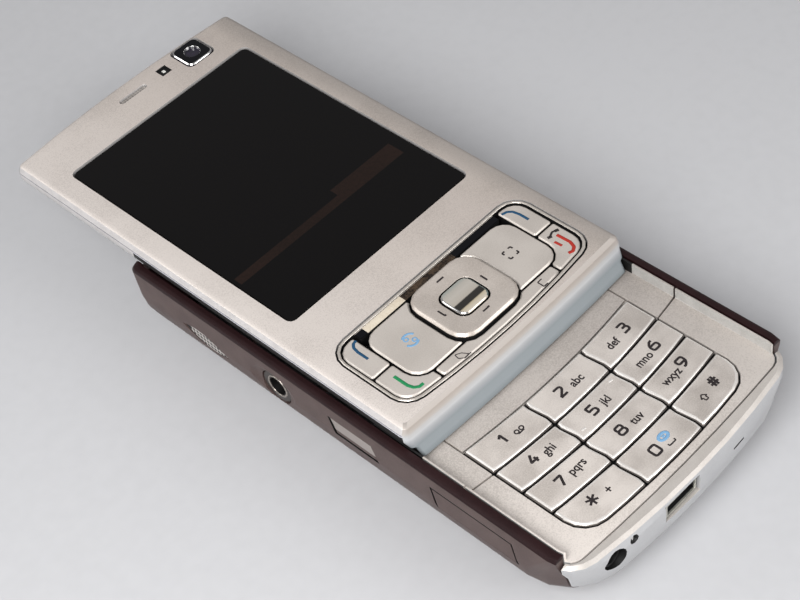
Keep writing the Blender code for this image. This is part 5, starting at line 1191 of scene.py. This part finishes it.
@dataclass
class KeyCluster:
    """The keys below the display, in their bright frame, with coloured marks."""

    edge: float = 0.00012
    frame_edge: float = 0.00006
    centre_edge: float = 0.00036
    flank: float = 0.3
    foot_lean: float = 0.2
    face: float = 0.0206
    strip_low: float = 0.0016
    strip_high: float = 0.00445
    # Painted reflections along the strip, each from its x to the next one's
    strip: tuple[tuple[float, Coat], ...] = (
        (-0.0187, Coat.STRIP_BLACK), (-0.0144, Coat.STRIP_CREAM), (-0.0060, Coat.STRIP_DARK),
        (0.0056, Coat.STRIP_BLACK), (0.0187, Coat.STRIP_BLACK))

    MARKS: ClassVar[dict[str, tuple[str, Coat, list[Mark]]]] = {
        "menu_mark": ("menu_key", Coat.DARK_INK, [
            Mark(0.00032, [(x - x_side * 0.55, y), (x, y), (x, y - y_side * 0.55)])
            for x, x_side in ((10.53, -1), (12.43, 1))
            for y, y_side in ((-4.17, -1), (-2.27, 1))]),
        "gallery_mark": ("multimedia_key", Coat.SKY_INK, [
            *(Mark(0.00042, arc((-11.5, -3.05), 1.25, start, start + 110)) for start in (20, 200)),
            *(Mark(0.00026, arc(middle, 0.38, 0, 340, 10), True)
              for middle in ((-11.95, -2.55), (-11.05, -3.55)))]),
        "edit_and_clear_marks": ("edit_clear_key", Coat.DARK_INK, [
            Mark(0.00018, [(-9.55, -10.5), (-8.6, -11.0), (-8.0, -12.0), (-9.0, -12.1),
                           (-9.7, -11.4)], True),
            Mark(0.00018, [(-9.0, -12.1), (-7.6, -12.1)]),
            Mark(0.00022, [(10.25, -10.75), (9.3, -10.75), (9.3, -12.1), (10.25, -12.1)])]),
        "left_soft_mark": ("soft_key_left", Coat.BLUE_INK, [Mark(0.0005, [
            (-16.87, 3.5), (-17.6, 3.3), (-18.1, 2.7), (-18.3, 1.6), (-18.3, -0.6)])]),
        "right_soft_mark": ("soft_key_right", Coat.BLUE_INK, [Mark(0.0005, [
            (16.9, 3.5), (17.9, 3.2), (18.5, 2.5), (18.75, 1.2), (18.75, -0.7)])]),
        "call_mark": ("call_key", Coat.GREEN_INK, [Mark(0.00058, [
            (-18.3, -6.1), (-18.3, -8.9), (-18.0, -9.9), (-17.3, -10.5), (-16.5, -10.5)])]),
        "end_mark": ("end_key", Coat.RED_INK, [
            Mark(0.0006, [(18.9, -6.5), (19.0, -9.2), (18.6, -10.3), (17.8, -10.8),
                          (17.0, -10.5)]),
            Mark(0.0005, [(17.5, -7.2), (17.6, -8.7)])]),
        "power_mark": ("end_key", Coat.DARK_INK, [
            Mark(0.0004, [(19.6, -5.8), (18.9, -5.5), (17.9, -5.9)]),
            Mark(0.0008, [(19.7, -5.6), (19.5, -6.1)]),
            Mark(0.0008, [(17.9, -5.7), (17.7, -6.2)])])}
    NAV_MARKS: ClassVar[list[Mark]] = [Mark(0.0004, points) for points in (
        [(-0.75, 1.35), (0.75, 1.35)], [(4.65, -3.0), (4.65, -4.5)],
        [(-5.0, -2.8), (-5.0, -4.3), (-4.7, -4.3)], [(-0.7, -8.45), (0.6, -8.45), (0.6, -8.2)])]

    def build(self) -> list[Thing]:
        """Build the cluster's keys, frame and marks.

        Returns:
            The pieces made.
        """
        made = [self.frame()]
        # Cluster keys get painted shade black down their sides; the pad under the four-way key is
        # painted shade black
        for node in ("soft_key_left", "soft_key_right", "call_key", "end_key", "multimedia_key",
                     "menu_key", "edit_clear_key"):
            made.append(capped(node, f"{node}_cap", Coat.CLUSTER_METAL, self.edge, 2))
        ring = capped("nav_ring", "nav_ring_cap", Coat.RING_METAL, self.edge, 3)
        dress("nav_pad", Coat.GAP_BLACK)
        return [*made, ring, self.centre(), *self.marks(ring)]

    def frame(self) -> Thing:
        """The bright frame, with painted reflections in bands along the strip on its upper side
        and painted shade black on its side walls.

        Returns:
            The finished frame.
        """
        ring = skin("cluster_frame", "bright_frame", Coat.FRAME_SILVER, self.frame_edge)
        sliced(ring, (0, 1, 0), self.strip_low)
        sliced(ring, (1, 0, 0), *(edge for edge, _ in self.strip))
        for (start, coat), (stop, _) in zip(self.strip, self.strip[1:]):
            painted(ring, coat, lambda middle, normal: start < middle.x < stop
                    and self.strip_low < middle.y < self.strip_high)
        painted(ring, Coat.GAP_BLACK, lambda middle, normal: abs(normal.z) < SIDE_WALL)
        return ring

    def centre(self) -> Thing:
        """The mirror-like middle key with painted reflections: bands across its top, a bright one
        on one flank and a cool teal one on the other.

        Returns:
            The finished key.
        """
        key = skin("centre_key", "centre_key_cap", Coat.CENTRE_CHROME, self.centre_edge, 4)
        # Painted reflections: teal on the right flank, bright chrome on the left; painted shade
        # black at the foot
        painted(key, Coat.TEAL_GLEAM, lambda middle, normal: normal.x > self.flank)
        painted(key, Coat.CHROME, lambda middle, normal: normal.x < -self.flank)
        painted(key, Coat.GAP_BLACK, lambda middle, normal: normal.z < self.foot_lean)
        return key

    def marks(self, pad: Thing) -> list[Thing]:
        """The cluster's printed marks.

        Args:
            pad: The four-way key's cap.

        Returns:
            The finished pieces.
        """
        made = [printed(name, node, coat, [mark.drawn(self.face) for mark in strokes])
                for name, (node, coat, strokes) in self.MARKS.items()]
        dashes = [mark.drawn(height(pad, mark.points[0])) for mark in self.NAV_MARKS]
        return [*made, printed("nav_marks", "nav_ring", Coat.DARK_INK, dashes)]


@dataclass
class BackCamera:
    """The camera in the back with its turned cover ring."""

    edge: float = 0.00008
    thin_edge: float = 0.00004

    def build(self) -> list[Thing]:
        """Build the camera's pieces.

        Returns:
            The pieces made.
        """
        return [skin(node, name, coat, edge) for node, name, coat, edge in (
            ("rear_camera", "camera_cup", Coat.BLACK, self.edge),
            ("lens_ring", "turned_lens_ring", Coat.STEEL, self.edge),
            ("lens_blade", "cover_blade", Coat.BLACK, self.thin_edge),
            ("camera_lens", "coated_lens", Coat.LENS, self.thin_edge),
            ("flash_window", "flash_diffuser", Coat.DIFFUSER, self.edge))]


@dataclass
class Studio:
    """A pale floor, soft lights and the camera."""

    floor_size: float = 3.0
    floor_drop: float = 0.0002
    lamps: tuple[tuple[str, Point, Point, float, float], ...] = (
        ("key light", (-0.26, -0.14, 0.30), (-0.01, 0.0, 0.0), 0.24, 2.0),
        ("front light", (0.16, -0.42, 0.26), (0.0, -0.02, 0.01), 0.30, 1.1),
        ("back light", (-0.35, 0.35, 0.25), (0.0, 0.03, 0.01), 0.26, 0.5))
    surround: Point = (0.5, 0.5, 0.51, 1)
    surround_strength: float = 0.62
    focal_length: float = 83.94
    sensor_width: float = 36.0
    camera_place: Point = (-0.12955, -0.14861, 0.23556)
    camera_turns: tuple[tuple[float, str], ...] = ((-38.89, "Z"), (42.34, "X"), (-10.01, "Z"))

    def build(self) -> None:
        """Set up the floor, the lights, the sky and the camera."""
        self.floor()
        for lamp in self.lamps:
            self.light(*lamp)
        self.sky()
        self.camera()
        bpy.context.scene.view_settings.view_transform = "Standard"

    def floor(self) -> None:
        """The floor that the phone lies on."""
        bpy.ops.mesh.primitive_plane_add(size=self.floor_size, location=(0, 0, -self.floor_drop))
        floor = coated(added("studio_floor"), Coat.FLOOR)
        floor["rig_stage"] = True

    @staticmethod
    def light(name: str, place: Point, aim: Point, size: float, power: float) -> None:
        """A soft square light.

        Args:
            name: The light's name.
            place: Where it stands.
            aim: What it points at.
            size: Its side length.
            power: Its power in watts.
        """
        lamp = bpy.data.lights.new(name, "AREA")
        lamp.size = size
        lamp.energy = power
        stand = placed(name, lamp)
        stand.location = place
        stand.rotation_euler = (Vector(aim) - Vector(place)).to_track_quat("-Z", "Y").to_euler()

    def sky(self) -> None:
        """An even grey surround."""
        world = bpy.data.worlds.new("grey surround")
        world.use_nodes = True
        backdrop = world.node_tree.nodes["Background"]
        backdrop.inputs["Color"].default_value = self.surround
        backdrop.inputs["Strength"].default_value = self.surround_strength
        bpy.context.scene.world = world

    def camera(self) -> None:
        """The camera at the photograph's place and angle."""
        lens = bpy.data.cameras.new("view camera")
        lens.lens = self.focal_length
        lens.sensor_width = self.sensor_width
        lens.clip_start = 0.01
        stand = placed("view camera", lens)
        turn = Matrix.Identity(4)
        for angle, axis in self.camera_turns:
            turn = turn @ Matrix.Rotation(math.radians(angle), 4, axis)
        stand.matrix_world = Matrix.Translation(self.camera_place) @ turn
        bpy.context.scene.camera = stand


def main() -> None:
    """Build the sub-assemblies in order and report each piece."""
    logging.basicConfig(level=logging.INFO, format="%(name)s: %(message)s")
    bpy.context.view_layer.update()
    for assembly in (BaseShell(), EndCap(), SideFittings(), Deck(), Keypad(), SliderShell(),
                     KeyCluster(), BackCamera()):
        for thing in assembly.build():
            evened(thing)
            log.info("%s: %s, %d faces", type(assembly).__name__, thing.name,
                     len(thing.data.polygons))
    Studio().build()


if __name__ == "__main__":
    main()
